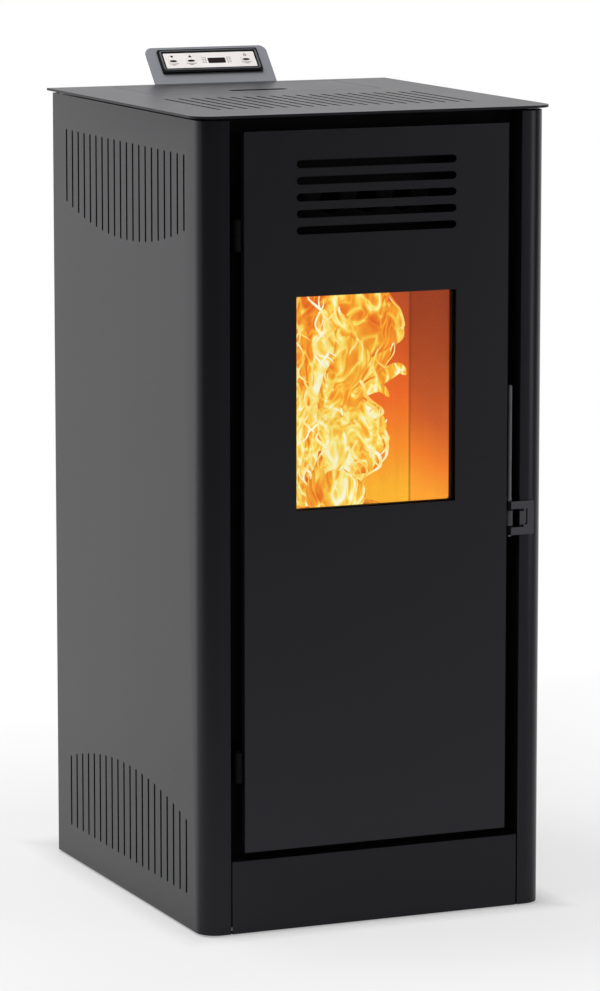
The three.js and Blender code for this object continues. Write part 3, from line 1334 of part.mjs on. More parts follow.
function powerInlet() {
  const y1 = rearY + INLET_PROUD;
  const x = INLET_W / 2 - SEAT;
  const z = INLET_H / 2 - SEAT;
  const body = join(
    box(INLET_X - x, INLET_X + x, rearY - INLET_D, y1, INLET_Z - z, INLET_Z + z),
    box(INLET_X - x - INLET_FLANGE, INLET_X + x + INLET_FLANGE, rearY, y1,
      INLET_Z - z - INLET_FLANGE, INLET_Z + z + INLET_FLANGE),
  );
  const opening = roundedRect(INLET_Z - SOCKET_LOW, INLET_Z - SOCKET_HIGH, INLET_X - SOCKET_W / 2,
    INLET_X + SOCKET_W / 2, SOCKET_R);
  const socket = prism(opening, "y", rearY - SOCKET_D, y1 + OVERCUT);
  const bayX = ROCKER_W / 2 + ROCKER_GAP;
  const bayZ = ROCKER_H / 2 + ROCKER_END_GAP;
  const rockerBay = box(INLET_X - bayX, INLET_X + bayX, rearY - ROCKER_BAY_D, y1 + OVERCUT,
    rocker.z - bayZ, rocker.z + bayZ);
  const pivotX = ROCKER_W / 2 + TRUNNION_L + ROCKER_GAP;
  const trunnion = bar("x", rocker.y, rocker.z, TRUNNION_R + RUNNING, INLET_X - pivotX,
    INLET_X + pivotX);
  return cut(body, socket, rockerBay, trunnion);
}
piece("power_inlet", powerInlet(), PLASTIC);

function mainsSwitch() {
  const profile = polygon([
    [-ROCKER_BACK, -ROCKER_H / 2 + ROCKER_TAPER],
    [ROCKER_FRONT, -ROCKER_H / 2],
    [ROCKER_CREST, 0],
    [ROCKER_FRONT, ROCKER_H / 2],
    [-ROCKER_BACK, ROCKER_H / 2 - ROCKER_TAPER],
  ]);
  const cap = prism(profile, "x", -ROCKER_W / 2, ROCKER_W / 2);
  const pivotX = ROCKER_W / 2 + TRUNNION_L;
  const pivot = bar("x", 0, 0, TRUNNION_R, -pivotX, pivotX);
  return join(cap, pivot);
}
const mains = piece("mains_switch", mainsSwitch(), BLACK);
mains.position.set(INLET_X, rocker.y, rocker.z);
mains.rotation.x = THREE.MathUtils.degToRad(-ROCKER_TILT);

function controlBoard() {
  const rear = rearY - SHEET - 2 * SEAT;
  const x0 = BOARD_X - BOARD_W / 2;
  const back = rear - BOARD_POST_H;
  const middle = back - BOARD_T / 2;
  const slab = box(x0, x0 + BOARD_W, back - BOARD_T, back, boardZ, boardZ + BOARD_H);
  const { x: tx, z: tz, side, height } = TRANSFORMER;
  const parts = [
    box(x0 + tx, x0 + tx + side, middle - height, middle, boardZ + tz, boardZ + tz + side),
    box(x0 + RELAYS.x, x0 + RELAYS.x + RELAYS.w, middle - RELAYS.height, middle,
      boardZ + RELAYS.z, boardZ + RELAYS.z + RELAYS.h),
  ];
  for (const postX of [x0 + BOARD_POST_INSET, x0 + BOARD_W - BOARD_POST_INSET]) {
    for (const postZ of [boardZ + BOARD_POST_INSET, boardZ + BOARD_H - BOARD_POST_INSET]) {
      parts.push(bar("y", postZ, postX, BOARD_POST_R, middle, rear));
    }
  }
  return join(slab, ...parts);
}
piece("control_board", controlBoard(), BOARD);

// ---------------------------------------------------------------- control panel

// Its own frame: +X across, +Y up the slope, +Z out of the panel's face.
const bezel = { w: FACE_W + 2 * BEZEL_SIDE, h: FACE_H + 2 * BEZEL_EDGE };
const panel = new THREE.Group();
panel.position.set(PANEL_SHIFT_X, rearY + SEAT, plateTopZ);
panel.rotation.x = THREE.MathUtils.degToRad(PANEL_TILT);
stove.add(panel);

function panelPiece(name, geometry, look) {
  panel.add(piece(name, geometry, look));
}

const face = {
  y: BEZEL_RISE + bezel.h / 2,
  z0: SEAT + BEZEL_T - BEZEL_POCKET + SEAT,
};
face.z1 = face.z0 + FACE_T;
face.keyY = face.y - DISPLAY_DROP;

function controlPlate() {
  const x = PANEL_W / 2;
  const r = PANEL_CORNER_R;
  const s = new THREE.Shape();
  s.moveTo(-x, 0);
  s.lineTo(x, 0);
  s.lineTo(x, PANEL_L - r);
  s.absarc(x - r, PANEL_L - r, r, 0, Math.PI / 2, false);
  s.lineTo(-x + r, PANEL_L);
  s.absarc(-x + r, PANEL_L - r, r, Math.PI / 2, Math.PI, false);
  const slope = prism(s, "z", -PANEL_T, 0);
  const skirt = box(-x, x, 0, PANEL_T, -PANEL_SKIRT, 0);
  skirt.rotateX(THREE.MathUtils.degToRad(-PANEL_TILT));
  return join(slope, skirt);
}
panelPiece("control_plate", controlPlate(), GREY);

const centred = (w, h, x, y, r) => roundedRect(x - w / 2, x + w / 2, y - h / 2, y + h / 2, r);

function controlBezel() {
  const z1 = SEAT + BEZEL_T;
  const block = prism(centred(bezel.w, bezel.h, 0, face.y, BEZEL_CORNER_R), "z", SEAT, z1,
    SLOT_STEPS);
  const pocket = prism(centred(FACE_W + 2 * SEAT, FACE_H + 2 * SEAT, 0, face.y, FACE_CORNER_R),
    "z", z1 - BEZEL_POCKET, z1 + OVERCUT, SLOT_STEPS);
  const wells = Object.values(KEY_XS).map((x) =>
    prism(centred(KEY_W + KEY_WELL_GAP, KEY_H + KEY_WELL_GAP, x, face.keyY, FACE_CORNER_R), "z",
      face.z1 + KEY_PROUD - KEY_T - KEY_TRAVEL - SEAT, z1, SLOT_STEPS));
  return cut(block, pocket, mergeGeometries(wells));
}
panelPiece("control_bezel", controlBezel(), BLACK);

function keypadFace() {
  const r = FACE_CORNER_R;
  const slab = prism(centred(FACE_W, FACE_H, 0, face.y, r), "z", face.z0, face.z1, SLOT_STEPS);
  const hole = (w, h, x) =>
    prism(centred(w + 2 * SEAT, h + 2 * SEAT, x, face.keyY, r), "z", 0, 2 * face.z1, SLOT_STEPS);
  const holes = Object.values(KEY_XS).map((x) => hole(KEY_W, KEY_H, x));
  holes.push(hole(DISPLAY_W, DISPLAY_H, DISPLAY_X));
  return cut(slab, mergeGeometries(holes));
}
panelPiece("keypad_face", keypadFace(), WHITE);

panelPiece("display_window", prism(centred(DISPLAY_W, DISPLAY_H, DISPLAY_X, face.keyY,
  DISPLAY_CORNER_R), "z", face.z0, face.z1 + DISPLAY_PROUD, SLOT_STEPS), GLASS);

for (const [name, x] of Object.entries(KEY_XS)) {
  const top = face.z1 + KEY_PROUD;
  const key = prism(centred(KEY_W, KEY_H, x, face.keyY, KEY_CORNER_R), "z", top - KEY_T, top,
    SLOT_STEPS);
  panelPiece(name, key, WHITE);
}

function controlHousing() {
  const z1 = -PANEL_T - SEAT;
  const outline = roundedRect(-FACE_W / 2, FACE_W / 2, BEZEL_RISE - HOUSING_LAP,
    BEZEL_RISE + bezel.h, HOUSING_CORNER_R);
  return prism(outline, "z", z1 - HOUSING_D, z1, SLOT_STEPS);
}
panelPiece("control_housing", controlHousing(), PLASTIC);

// ---------------------------------------------------------------- origin at the middle of the base

const frontmost = frontY - TOP_OVERHANG_FRONT;
const rearmost = rearY + FLUE_STUB;
stove.position.y = -(frontmost + rearmost) / 2;

const pelletStove = new THREE.Group();
pelletStove.add(stove);

export default pelletStove;
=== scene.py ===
"""Looks of a pellet stove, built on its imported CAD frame. Metres, +Z up, front towards -Y."""

import json
import math
import random

import bmesh
import bpy
from mathutils import Matrix, Vector, noise

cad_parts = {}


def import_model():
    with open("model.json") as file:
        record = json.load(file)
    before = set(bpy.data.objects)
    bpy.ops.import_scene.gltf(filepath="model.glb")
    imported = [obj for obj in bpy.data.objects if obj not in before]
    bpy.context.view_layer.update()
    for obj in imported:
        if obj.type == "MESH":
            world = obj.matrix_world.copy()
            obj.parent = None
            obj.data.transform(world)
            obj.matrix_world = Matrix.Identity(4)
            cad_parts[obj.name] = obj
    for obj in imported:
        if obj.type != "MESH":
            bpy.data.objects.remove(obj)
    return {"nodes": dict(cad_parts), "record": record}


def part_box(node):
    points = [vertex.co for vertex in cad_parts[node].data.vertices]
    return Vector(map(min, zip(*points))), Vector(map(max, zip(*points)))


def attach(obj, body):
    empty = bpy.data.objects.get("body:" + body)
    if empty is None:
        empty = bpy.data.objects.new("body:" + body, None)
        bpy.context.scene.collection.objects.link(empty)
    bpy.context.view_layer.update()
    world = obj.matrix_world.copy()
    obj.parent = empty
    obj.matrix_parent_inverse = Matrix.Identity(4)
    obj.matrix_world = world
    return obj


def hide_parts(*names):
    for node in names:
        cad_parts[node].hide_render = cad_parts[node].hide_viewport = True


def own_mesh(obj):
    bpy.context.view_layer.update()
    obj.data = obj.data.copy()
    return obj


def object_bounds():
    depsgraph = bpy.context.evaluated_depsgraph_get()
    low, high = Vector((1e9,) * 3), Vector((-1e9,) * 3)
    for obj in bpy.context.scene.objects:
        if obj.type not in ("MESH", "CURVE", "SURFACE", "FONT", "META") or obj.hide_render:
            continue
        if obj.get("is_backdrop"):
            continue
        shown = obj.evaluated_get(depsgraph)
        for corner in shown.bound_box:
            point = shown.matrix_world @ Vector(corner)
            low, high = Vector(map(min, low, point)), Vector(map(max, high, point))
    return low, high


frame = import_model()
CAD_BOX = tuple(Vector(corner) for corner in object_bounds())
NODES = frame["nodes"]
RECORD = frame["record"]
MM = 0.001

BODY_OF = {n: b for b, names in RECORD["behaviour"]["bodies"].items() for n in names}
SLOT_OF = {s["node"]: s["material_slot"] for s in RECORD["subparts"]}


def span(node):
    """A CAD node's lowest and highest corners."""
    low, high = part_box(node)
    return Vector(low), Vector(high)


# ------------------------------------------------------------------ materials


def srgb(r, g, b, a=1.0):
    """Linear colour from 0-255 sRGB values."""
    lin = [c / 255 / 12.92 if c <= 10 else ((c / 255 + 0.055) / 1.055) ** 2.4 for c in (r, g, b)]
    return (*lin, a)


def scaled(colour, k):
    return (*(min(1.0, c * k) for c in colour[:3]), 1.0)


class Look:
    """A Principled material with short calls for the texture nodes that feed it."""

    def __init__(self, name, roughness, metallic=0.0, **fixed):
        self.mat = bpy.data.materials.new(name)
        self.mat.use_nodes = True
        self.tree = self.mat.node_tree
        self.shader = self.tree.nodes["Principled BSDF"]
        self.set(Roughness=roughness, Metallic=metallic, **fixed)
        self.where = self.tree.nodes.new("ShaderNodeTexCoord").outputs["Object"]

    def set(self, **values):
        for socket, value in values.items():
            self.shader.inputs[socket.replace("_", " ")].default_value = value
        return self

    def node(self, kind, **inputs):
        made = self.tree.nodes.new(kind)
        for socket, value in inputs.items():
            self.feed(made.inputs[socket.replace("_", " ")], value)
        return made

    def feed(self, socket, value):
        if isinstance(value, bpy.types.NodeSocket):
            self.tree.links.new(value, socket)
        else:
            socket.default_value = value

    def to(self, socket, value):
        self.feed(self.shader.inputs[socket], value)
        return self

    def stretched(self, x=1.0, y=1.0, z=1.0, turn=0.0):
        mapping = self.node("ShaderNodeMapping", Vector=self.where)
        mapping.inputs["Scale"].default_value = (x, y, z)
        mapping.inputs["Rotation"].default_value = (0.0, turn, 0.0)
        return mapping.outputs["Vector"]

    def noise(self, scale, detail=3.0, distortion=0.0, where=None, roughness=0.5, kind="FBM"):
        made = self.node("ShaderNodeTexNoise", Vector=where or self.where, Scale=scale,
                         Detail=detail, Distortion=distortion, Roughness=roughness)
        made.noise_type = kind
        return made.outputs["Fac"]

    def cells(self, scale, where=None, feature="F1", randomness=1.0):
        made = self.node("ShaderNodeTexVoronoi", Vector=where or self.where, Scale=scale,
                         Randomness=randomness)
        made.feature = feature
        return made.outputs["Distance"]

    def warped(self, where, scale, reach):
        """The place, pushed about by a noise of its own."""
        bend = self.node("ShaderNodeTexNoise", Vector=where, Scale=scale, Detail=2.0)
        centred = self.node("ShaderNodeVectorMath")
        centred.operation = "SUBTRACT"
        self.feed(centred.inputs[0], bend.outputs["Color"])
        centred.inputs[1].default_value = (0.5, 0.5, 0.5)
        shift = self.node("ShaderNodeVectorMath")
        shift.operation = "MULTIPLY_ADD"
        self.feed(shift.inputs[0], centred.outputs["Vector"])
        shift.inputs[1].default_value = reach
        self.feed(shift.inputs[2], where)
        return shift.outputs["Vector"]

    def ridges(self, scale, where, sharp):
        """Thin bright lines, 1 along the middle level of a noise and 0 away from it."""
        level = self.noise(scale, detail=1.5, where=where, roughness=0.4)
        off = self.math("ABSOLUTE", self.math("SUBTRACT", level, 0.5))
        line = self.math("MAXIMUM", self.math("SUBTRACT", 1.0, self.math("MULTIPLY", off, sharp)), 0.0)
        return self.math("POWER", line, 1.6)

    def axis(self, index):
        split = self.node("ShaderNodeSeparateXYZ", Vector=self.where)
        return split.outputs[index]

    def math(self, operation, a, b=0.0):
        made = self.tree.nodes.new("ShaderNodeMath")
        made.operation = operation
        self.feed(made.inputs[0], a)
        self.feed(made.inputs[1], b)
        return made.outputs[0]

    def range(self, value, low, high, to_low=0.0, to_high=1.0):
        made = self.node("ShaderNodeMapRange", Value=value)
        made.inputs["From Min"].default_value = low
        made.inputs["From Max"].default_value = high
        made.inputs["To Min"].default_value = to_low
        made.inputs["To Max"].default_value = to_high
        return made.outputs["Result"]

    def ramp(self, value, *stops):
        made = self.node("ShaderNodeValToRGB", Fac=value)
        ramp = made.color_ramp
        while len(ramp.elements) < len(stops):
            ramp.elements.new(0.5)
        for element, (place, colour) in zip(ramp.elements, stops):
            element.position = place
            element.color = colour
        return made.outputs["Color"]

    def mix(self, factor, a, b, blend="MIX"):
        made = self.tree.nodes.new("ShaderNodeMix")
        made.data_type = "RGBA"
        made.blend_type = blend
        self.feed(made.inputs["Factor"], factor)
        self.feed(made.inputs["A"], a)
        self.feed(made.inputs["B"], b)
        return made.outputs["Result"]

    def bump(self, height, strength, distance):
        made = self.node("ShaderNodeBump", Height=height)
        made.inputs["Strength"].default_value = strength
        made.inputs["Distance"].default_value = distance
        return self.to("Normal", made.outputs["Normal"])


COOL = (0.88, 0.88, 0.98, 1.0)  # the coat's sheen is faintly blue


def powder_coat(name, colour, roughness=0.3, grain=0.22, sheen=0.5):
    """Satin powder coat: fine orange peel, faint clouding, handling marks in its gloss."""
    look = Look(name, roughness, Specular_IOR_Level=sheen, Specular_Tint=COOL)
    cloud = look.noise(5.0, detail=2.0)
    look.to("Base Color", look.ramp(cloud, (0.05, scaled(colour, 0.94)), (0.95, scaled(colour, 1.06))))
    smudge = look.noise(9.0, detail=2.0)
    look.to("Roughness", look.range(smudge, 0.05, 0.95, roughness - 0.02, roughness + 0.025))
    peel = look.noise(1500.0, detail=2.0)
    waves = look.noise(260.0, detail=2.0)
    height = look.math("ADD", peel, look.math("MULTIPLY", waves, 0.25))
    return look.bump(height, grain, 0.00006).mat


def stove_paint(name, colour):
    """Matt heat-proof paint, slightly rough, with a dusty bloom."""
    look = Look(name, 0.72, Specular_IOR_Level=0.15)
    bloom = look.noise(22.0, detail=8.0, roughness=0.7)
    look.to("Base Color", look.ramp(bloom, (0.4, colour), (0.8, scaled(colour, 2.2))))
    look.to("Roughness", look.range(bloom, 0.3, 0.8, 0.6, 0.85))
    return look.bump(look.noise(900.0, detail=4.0), 0.5, 0.0002).mat


def cast_iron(name, colour):
    look = Look(name, 0.7, metallic=0.3)
    patch = look.noise(30.0, detail=8.0, roughness=0.65)
    rust = srgb(60, 42, 34)
    soot = scaled(colour, 0.6)
    look.to("Base Color", look.ramp(patch, (0.35, soot), (0.6, colour), (0.82, rust)))
    pits = look.math("ADD", look.noise(600.0, detail=6.0), look.cells(320.0))
    return look.bump(pits, 0.6, 0.0004).mat


def sheet_steel(name, colour, along="z", roughness=0.32):
    """Rolled bare sheet: fine streaks along one axis, faint oil stains."""
    look = Look(name, roughness, metallic=1.0)
    squeeze = {"x": (6, 900, 900), "y": (900, 6, 900), "z": (900, 900, 6)}[along]
    streaks = look.noise(1.0, detail=4.0, where=look.stretched(*squeeze))
    stain = look.noise(9.0, detail=6.0, distortion=0.4)
    tone = look.ramp(streaks, (0.3, scaled(colour, 0.88)), (0.7, scaled(colour, 1.08)))
    look.to("Base Color", look.mix(look.range(stain, 0.5, 0.8, 0.0, 0.35), tone, scaled(colour, 0.6)))
    look.to("Roughness", look.range(streaks, 0.2, 0.8, roughness - 0.06, roughness + 0.12))
    return look.bump(streaks, 0.15, 0.00005).mat


def galvanised(name, colour):
    """Zinc-coated sheet with spangle."""
    look = Look(name, 0.5, metallic=0.7)
    spangle = look.cells(70.0, where=look.stretched(1.0, 1.0, 0.7))
    tone = look.ramp(spangle, (0.0, scaled(colour, 0.82)), (0.6, scaled(colour, 1.1)))
    look.to("Base Color", tone)
    look.to("Roughness", look.range(spangle, 0.0, 0.7, 0.32, 0.52))
    return look.bump(look.noise(400.0), 0.12, 0.0001).mat


def iron_painted_glow(name, colour, cold, hot):
    """Cast iron with a painted glow of the fire's light where it stands in the fire, between two heights in
    metres.
    """
    look = Look(name, 0.75, metallic=0.2)
    patch = look.noise(60.0, detail=8.0, roughness=0.65)
    look.to("Base Color", look.ramp(patch, (0.35, scaled(colour, 0.6)), (0.7, srgb(70, 58, 50))))
    # Painted glow: emission rises unevenly between the two heights.
    reach = look.range(look.axis(2), cold, hot)
    scale = look.range(look.noise(140.0, detail=4.0, distortion=0.8), 0.35, 0.65, 0.45, 1.1)
    uneven = look.math("MULTIPLY", reach, scale)
    look.to("Emission Color", look.ramp(uneven, (0.0, srgb(0, 0, 0)), (0.45, srgb(176, 62, 18)),
                                        (0.9, srgb(252, 172, 48))))
    look.set(Emission_Strength=1.0)
    return look.bump(look.noise(600.0, detail=6.0), 0.5, 0.0003).mat


def moulded_plastic(name, colour, roughness=0.5, grain=1100.0, sheen=0.4):
    look = Look(name, roughness, Specular_IOR_Level=sheen)
    shade = look.noise(18.0, detail=4.0)
    look.to("Base Color", look.ramp(shade, (0.3, scaled(colour, 0.92)), (0.75, scaled(colour, 1.12))))
    pebble = look.cells(grain)
    look.to("Roughness", look.range(shade, 0.3, 0.7, roughness - 0.05, roughness + 0.06))
    return look.bump(pebble, 0.3, 0.00012).mat


def rope_fibre(name, colour):
    look = Look(name, 0.95)
    strand = look.node("ShaderNodeTexWave", Vector=look.stretched(1, 1, 1, 0.8), Scale=420.0,
                       Distortion=2.0, Detail=2.0)
    tone = look.ramp(strand.outputs["Fac"], (0.2, scaled(colour, 0.5)), (0.8, scaled(colour, 1.4)))
    look.to("Base Color", tone)
    look.set(Sheen_Weight=0.3)
    return look.bump(strand.outputs["Fac"], 0.7, 0.0005).mat


def rubber(name, colour):
    look = Look(name, 0.85)
    dust = look.noise(60.0, detail=6.0)
    look.to("Base Color", look.ramp(dust, (0.4, colour), (0.8, scaled(colour, 3.0))))
    return look.bump(look.noise(700.0), 0.4, 0.0002).mat


def clear_glass(name):
    """Ceramic glass with a faint smoke film in patches."""
    look = Look(name, 0.02, Transmission_Weight=1.0, IOR=1.2)
    film = look.noise(12.0, detail=5.0, distortion=0.5)
    look.to("Base Color", look.ramp(film, (0.4, (0.98, 0.97, 0.95, 1)), (0.9, (0.86, 0.82, 0.76, 1))))
    look.to("Roughness", look.range(film, 0.55, 0.9, 0.0, 0.05))
    return look.mat


FIRE_LOW = 0.47  # height of the fire's foot
FIRE_TOP = 0.78  # height of the baffle above it


def board_painted_glow(name, board, painted_glow_stops, seam):
    """Pressed fire board with a painted glow of the fire's light: the glow fades upwards, and painted shade
    dims it at its seam.
    """
    look = Look(name, 0.95)
    grain = look.noise(160.0, detail=8.0, roughness=0.7)
    soot = look.noise(11.0, detail=5.0, distortion=0.4)
    base = look.ramp(grain, (0.3, scaled(board, 0.75)), (0.75, board))
    look.to("Base Color", look.mix(look.range(soot, 0.45, 0.75, 0.0, 0.6), base, scaled(board, 0.25)))
    height = look.range(look.axis(2), FIRE_LOW, FIRE_TOP)
    waver = look.math("ADD", height, look.range(look.noise(9.0), 0.0, 1.0, -0.07, 0.07))
    glow = look.ramp(waver, *painted_glow_stops)
    # Painted shade: the glow dims towards the corner seam along one axis.
    axis, corner, clear, dark, full = seam
    side = look.range(look.axis(axis), corner, clear, dark, full)
    # Faint streaks in the painted glow's strength.
    drawn = look.noise(1.0, detail=3.0, where=look.stretched(140, 140, 5))
    glow_streaks = look.range(drawn, 0.25, 0.75, 0.94, 1.03)
    look.to("Emission Color", glow)
    look.to("Emission Strength", look.math("MULTIPLY", side, glow_streaks))
    return look.bump(look.math("ADD", grain, look.cells(240.0)), 0.5, 0.0006).mat


def flame_look(name, seed, threads=1.0, hot=0.0):
    """Fire: bright threads and folds over deep orange pockets, cooler towards each tongue's rim."""
    look = Look(name, 1.0, Specular_IOR_Level=0.0)
    look.set(Base_Color=(0, 0, 0, 1))
    place = look.node("ShaderNodeMapping", Vector=look.where)
    place.inputs["Location"].default_value = (seed * 0.37, seed * 0.71, seed * 0.13)
    place.inputs["Scale"].default_value = (1.0, 0.8, 0.6)
    bent = look.warped(place.outputs["Vector"], 14.0, (0.1, 0.1, 0.14))
    curled = look.warped(bent, 38.0, (0.014, 0.014, 0.02))
    folds = look.noise(30.0, detail=4.0, where=curled, roughness=0.6)
    broad = look.ridges(36.0 * threads, curled, 9.0)
    fine = look.ridges(80.0 * threads, bent, 7.0)
    body = look.range(folds, 0.28, 0.74, 0.02, 0.6)
    heat = look.math("ADD", body, look.math("MULTIPLY", broad, 0.42))
    heat = look.math("ADD", heat, look.math("MULTIPLY", fine, 0.26))
    rim = look.node("ShaderNodeAttribute")
    rim.attribute_name = "rim"
    heat = look.math("SUBTRACT", heat, look.math("MULTIPLY", rim.outputs["Fac"], 0.3))
    spread = look.range(look.noise(9.0, detail=1.0, where=bent), 0.3, 0.7, -0.26, 0.26)
    heat = look.math("ADD", look.math("ADD", heat, spread), hot)
    look.to("Emission Color", look.ramp(
        heat,
        (0.0, srgb(232, 98, 26)),
        (0.2, srgb(243, 130, 34)),
        (0.42, srgb(252, 172, 48)),
        (0.62, srgb(255, 214, 84)),
        (0.8, srgb(255, 240, 140)),
        (1.0, srgb(255, 252, 222)),
    ))
    look.set(Emission_Strength=1.0)
    return look.mat


def thread_look(name):
    look = Look(name, 1.0, Specular_IOR_Level=0.0)
    look.set(Base_Color=(0, 0, 0, 1))
    beat = look.noise(45.0, detail=2.0)
    look.to("Emission Color", look.ramp(beat, (0.34, srgb(255, 200, 78)), (0.5, srgb(255, 232, 128)),
                                        (0.66, srgb(255, 253, 226))))
    look.set(Emission_Strength=1.0)
    return look.mat


def ember_look(name, seed):
    look = Look(name, 0.9)
    coal = look.noise(260.0 + seed, detail=5.0, roughness=0.7)
    look.to("Base Color", look.ramp(coal, (0.4, srgb(30, 24, 20)), (0.7, srgb(96, 88, 80))))
    look.to("Emission Color", look.ramp(coal, (0.35, srgb(120, 20, 4)), (0.6, srgb(255, 130, 30))))
    look.set(Emission_Strength=1.0)
    return look.bump(coal, 0.6, 0.0006).mat


def pellet_look(name):
    look = Look(name, 0.8)
    fibre = look.noise(1.0, detail=5.0, where=look.stretched(500, 500, 500))
    tint = look.cells(60.0)
    tone = look.ramp(fibre, (0.3, srgb(128, 92, 58)), (0.7, srgb(196, 158, 108)))
    look.to("Base Color", look.mix(look.range(tint, 0.0, 1.0, 0.0, 0.5), tone, srgb(150, 112, 72)))
    return look.bump(fibre, 0.5, 0.0004).mat


COAT = srgb(30, 30, 33)
DOOR_COAT = srgb(31, 31, 35)
BLACK = srgb(7, 7, 7)

LOOKS = {
    "side_coat": powder_coat("side_coat", COAT, 0.26, sheen=0.28),
    # The top plate and lid carry the sides' paint written lighter, as painted light on faces that look up.
    "top_coat_painted_light": powder_coat("top_coat_painted_light", srgb(42, 42, 47), 0.36, sheen=0.18),
    "door_coat": powder_coat("door_coat", DOOR_COAT, sheen=0.42),
    "black_coat": stove_paint("black_coat", BLACK),
    "grey_coat": powder_coat("grey_coat", srgb(136, 138, 144), 0.42, sheen=0.3),
    "latch_coat": powder_coat("latch_coat", srgb(82, 82, 86)),
    "rod_coat": powder_coat("rod_coat", srgb(120, 120, 123)),
    # Near-black painted shade for slot walls, the latch plate's slit and its rolled end.
    "painted_slot_shade": stove_paint("painted_slot_shade", srgb(5, 5, 5)),
    "latch_black": powder_coat("latch_black", srgb(12, 12, 13), 0.4),
    "cast_iron": cast_iron("cast_iron", srgb(38, 37, 36)),
    "iron_painted_glow": iron_painted_glow("iron_painted_glow", srgb(38, 37, 36), 0.466, 0.481),
    "steel": sheet_steel("steel", srgb(178, 180, 182)),
    "steel_across": sheet_steel("steel_across", srgb(178, 180, 182), along="y"),
    # The heat exchanger's near-black is partly soot and partly painted shade, so it reads black behind the
    # door's slots.
    "soot_and_shade_steel": stove_paint("soot_and_shade_steel", srgb(16, 14, 14)),
    "zinc": galvanised("zinc", srgb(128, 131, 134)),
    "glass": clear_glass("glass"),
    "rope": rope_fibre("rope", srgb(96, 94, 90)),
    "rubber": rubber("rubber", srgb(20, 20, 20)),
    "plastic": moulded_plastic("plastic", srgb(22, 22, 24)),
    "bezel_plastic": moulded_plastic("bezel_plastic", srgb(9, 9, 10), 0.5, 1600.0, 0.12),
    "keypad": moulded_plastic("keypad", srgb(250, 242, 239), 0.5, 2200.0, 0.2),
    "display": moulded_plastic("display", srgb(34, 18, 20), 0.3, 2600.0, 0.15),
    "ring_plastic": moulded_plastic("ring_plastic", srgb(96, 97, 102), 0.4, 1600.0, 0.2),
    "lamp_off": moulded_plastic("lamp_off", srgb(128, 60, 56), 0.3, 2600.0),
    "ink": moulded_plastic("ink", srgb(16, 14, 15), 0.6, 2000.0, 0.05),
    "igniter": moulded_plastic("igniter", srgb(206, 198, 184), 0.8, 700.0),
    "board_green": moulded_plastic("board_green", srgb(34, 84, 52), 0.45, 500.0),
    "pellet": pellet_look("pellet"),
    # The liners' and baffle's emission is painted glow of the fire's light, with painted shade at the
    # liners' corner seam.
    "liner_back": board_painted_glow(
        "liner_back", srgb(84, 60, 40),
        ((0.04, srgb(253, 182, 44)), (0.2, srgb(247, 142, 36)), (0.42, srgb(236, 104, 30)),
         (0.66, srgb(204, 80, 30)), (0.9, srgb(166, 68, 36))),
        (0, 0.1243, 0.1215, 0.4, 1.0)),
    "liner_side": board_painted_glow(
        "liner_side", srgb(84, 60, 40),
        ((0.04, srgb(253, 164, 46)), (0.18, srgb(240, 124, 34)), (0.36, srgb(196, 86, 32)),
         (0.56, srgb(164, 66, 26)), (0.9, srgb(138, 50, 22))),
        (1, -0.0785, -0.088, 0.1, 1.0)),
}

NODE_LOOK = {
    "side_coat": ("side_panel_left", "side_panel_right", "plinth_panel", "rear_panel"),
    "top_coat_painted_light": ("top_plate", "hopper_lid"),
    "door_coat": ("door_panel",),
    "black_coat": ("base_plate", "front_bulkhead", "door_stiffener_right", "door_stiffener_left",
                   "hinge_lug_lower", "hinge_lug_upper", "hinge_bracket_lower",
                   "hinge_bracket_upper", "auger_motor", "exhaust_motor", "blower_housing", "window_frame"),
    "soot_and_shade_steel": ("heat_exchanger",),
    "latch_coat": ("latch_bracket", "latch_plate"),
    "rod_coat": ("latch_rod",),
    "grey_coat": ("control_plate",),
    "cast_iron": ("firebox_shell", "exhaust_fan_housing"),
    "iron_painted_glow": ("burn_pot_holder", "burn_pot"),
    "liner_back": ("firebox_liner_back", "smoke_baffle"),
    "liner_side": ("firebox_liner_left", "firebox_liner_right"),
    "zinc": ("pellet_hopper", "smoke_duct", "air_duct", "auger_tube"),
    "steel": ("lid_hinge_pin", "auger_screw", "ash_pan", "exhaust_impeller",
              "blower_rotor"),
    "steel_across": ("flue_collar", "air_intake_pipe"),
    "glass": ("window_glass",),
    "rope": ("door_rope_seal",),
    "rubber": ("foot_front_left", "foot_front_right", "foot_rear_left", "foot_rear_right"),
    "plastic": ("power_inlet", "mains_switch", "control_housing"),
    "bezel_plastic": ("control_bezel",),
    "keypad": ("keypad_face", "button_down", "button_up", "button_power"),
    "display": ("display_window",),
    "igniter": ("igniter",),
    "board_green": ("control_board",),
}
for look_name, node_names in NODE_LOOK.items():
    for node_name in node_names:
        slots = NODES[node_name].data.materials
        slots.clear()
        slots.append(LOOKS[look_name])

# ------------------------------------------------------------------ making pieces


def add(name, mesh, body, look, slot_name, *replaced):
    """Puts a finished mesh in the scene on a body, with its look; slot_name is not used."""
    piece = bpy.data.objects.new(name, mesh)
    bpy.context.scene.collection.objects.link(piece)
    if look:
        mesh.materials.clear()
        mesh.materials.append(LOOKS[look])
    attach(piece, body)
    if replaced:
        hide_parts(*replaced)
    return piece


def slot_wall_shade_mask(node):
    """Tells which faces of a sheet are the walls of its cut slots: across the sheet, off its rim. These
    faces take painted shade.
    """
    low, high = span(node)
    thin = {"top_plate": 2, "hopper_lid": 2, "side_panel_left": 0, "side_panel_right": 0, "door_panel": 1,
            "latch_plate": 1, "rear_panel": 1}[node]
    edge = 12 * MM if node == "top_plate" else 6 * MM

    def is_wall(place, normal):
        inside = all(low[i] + edge < place[i] < high[i] - edge for i in range(3) if i != thin)
        return inside and abs(normal[thin]) < 0.5

    return is_wall


def latch_shade_mask(place, normal):
    """The rolled left end of the latch plate, and the slit that frees its tongue, painted near-black as
    shade.
    """
    rolled = place.x < span("latch_rod")[1].x + 2 * MM
    return rolled or slot_wall_shade_mask("latch_plate")(place, normal)


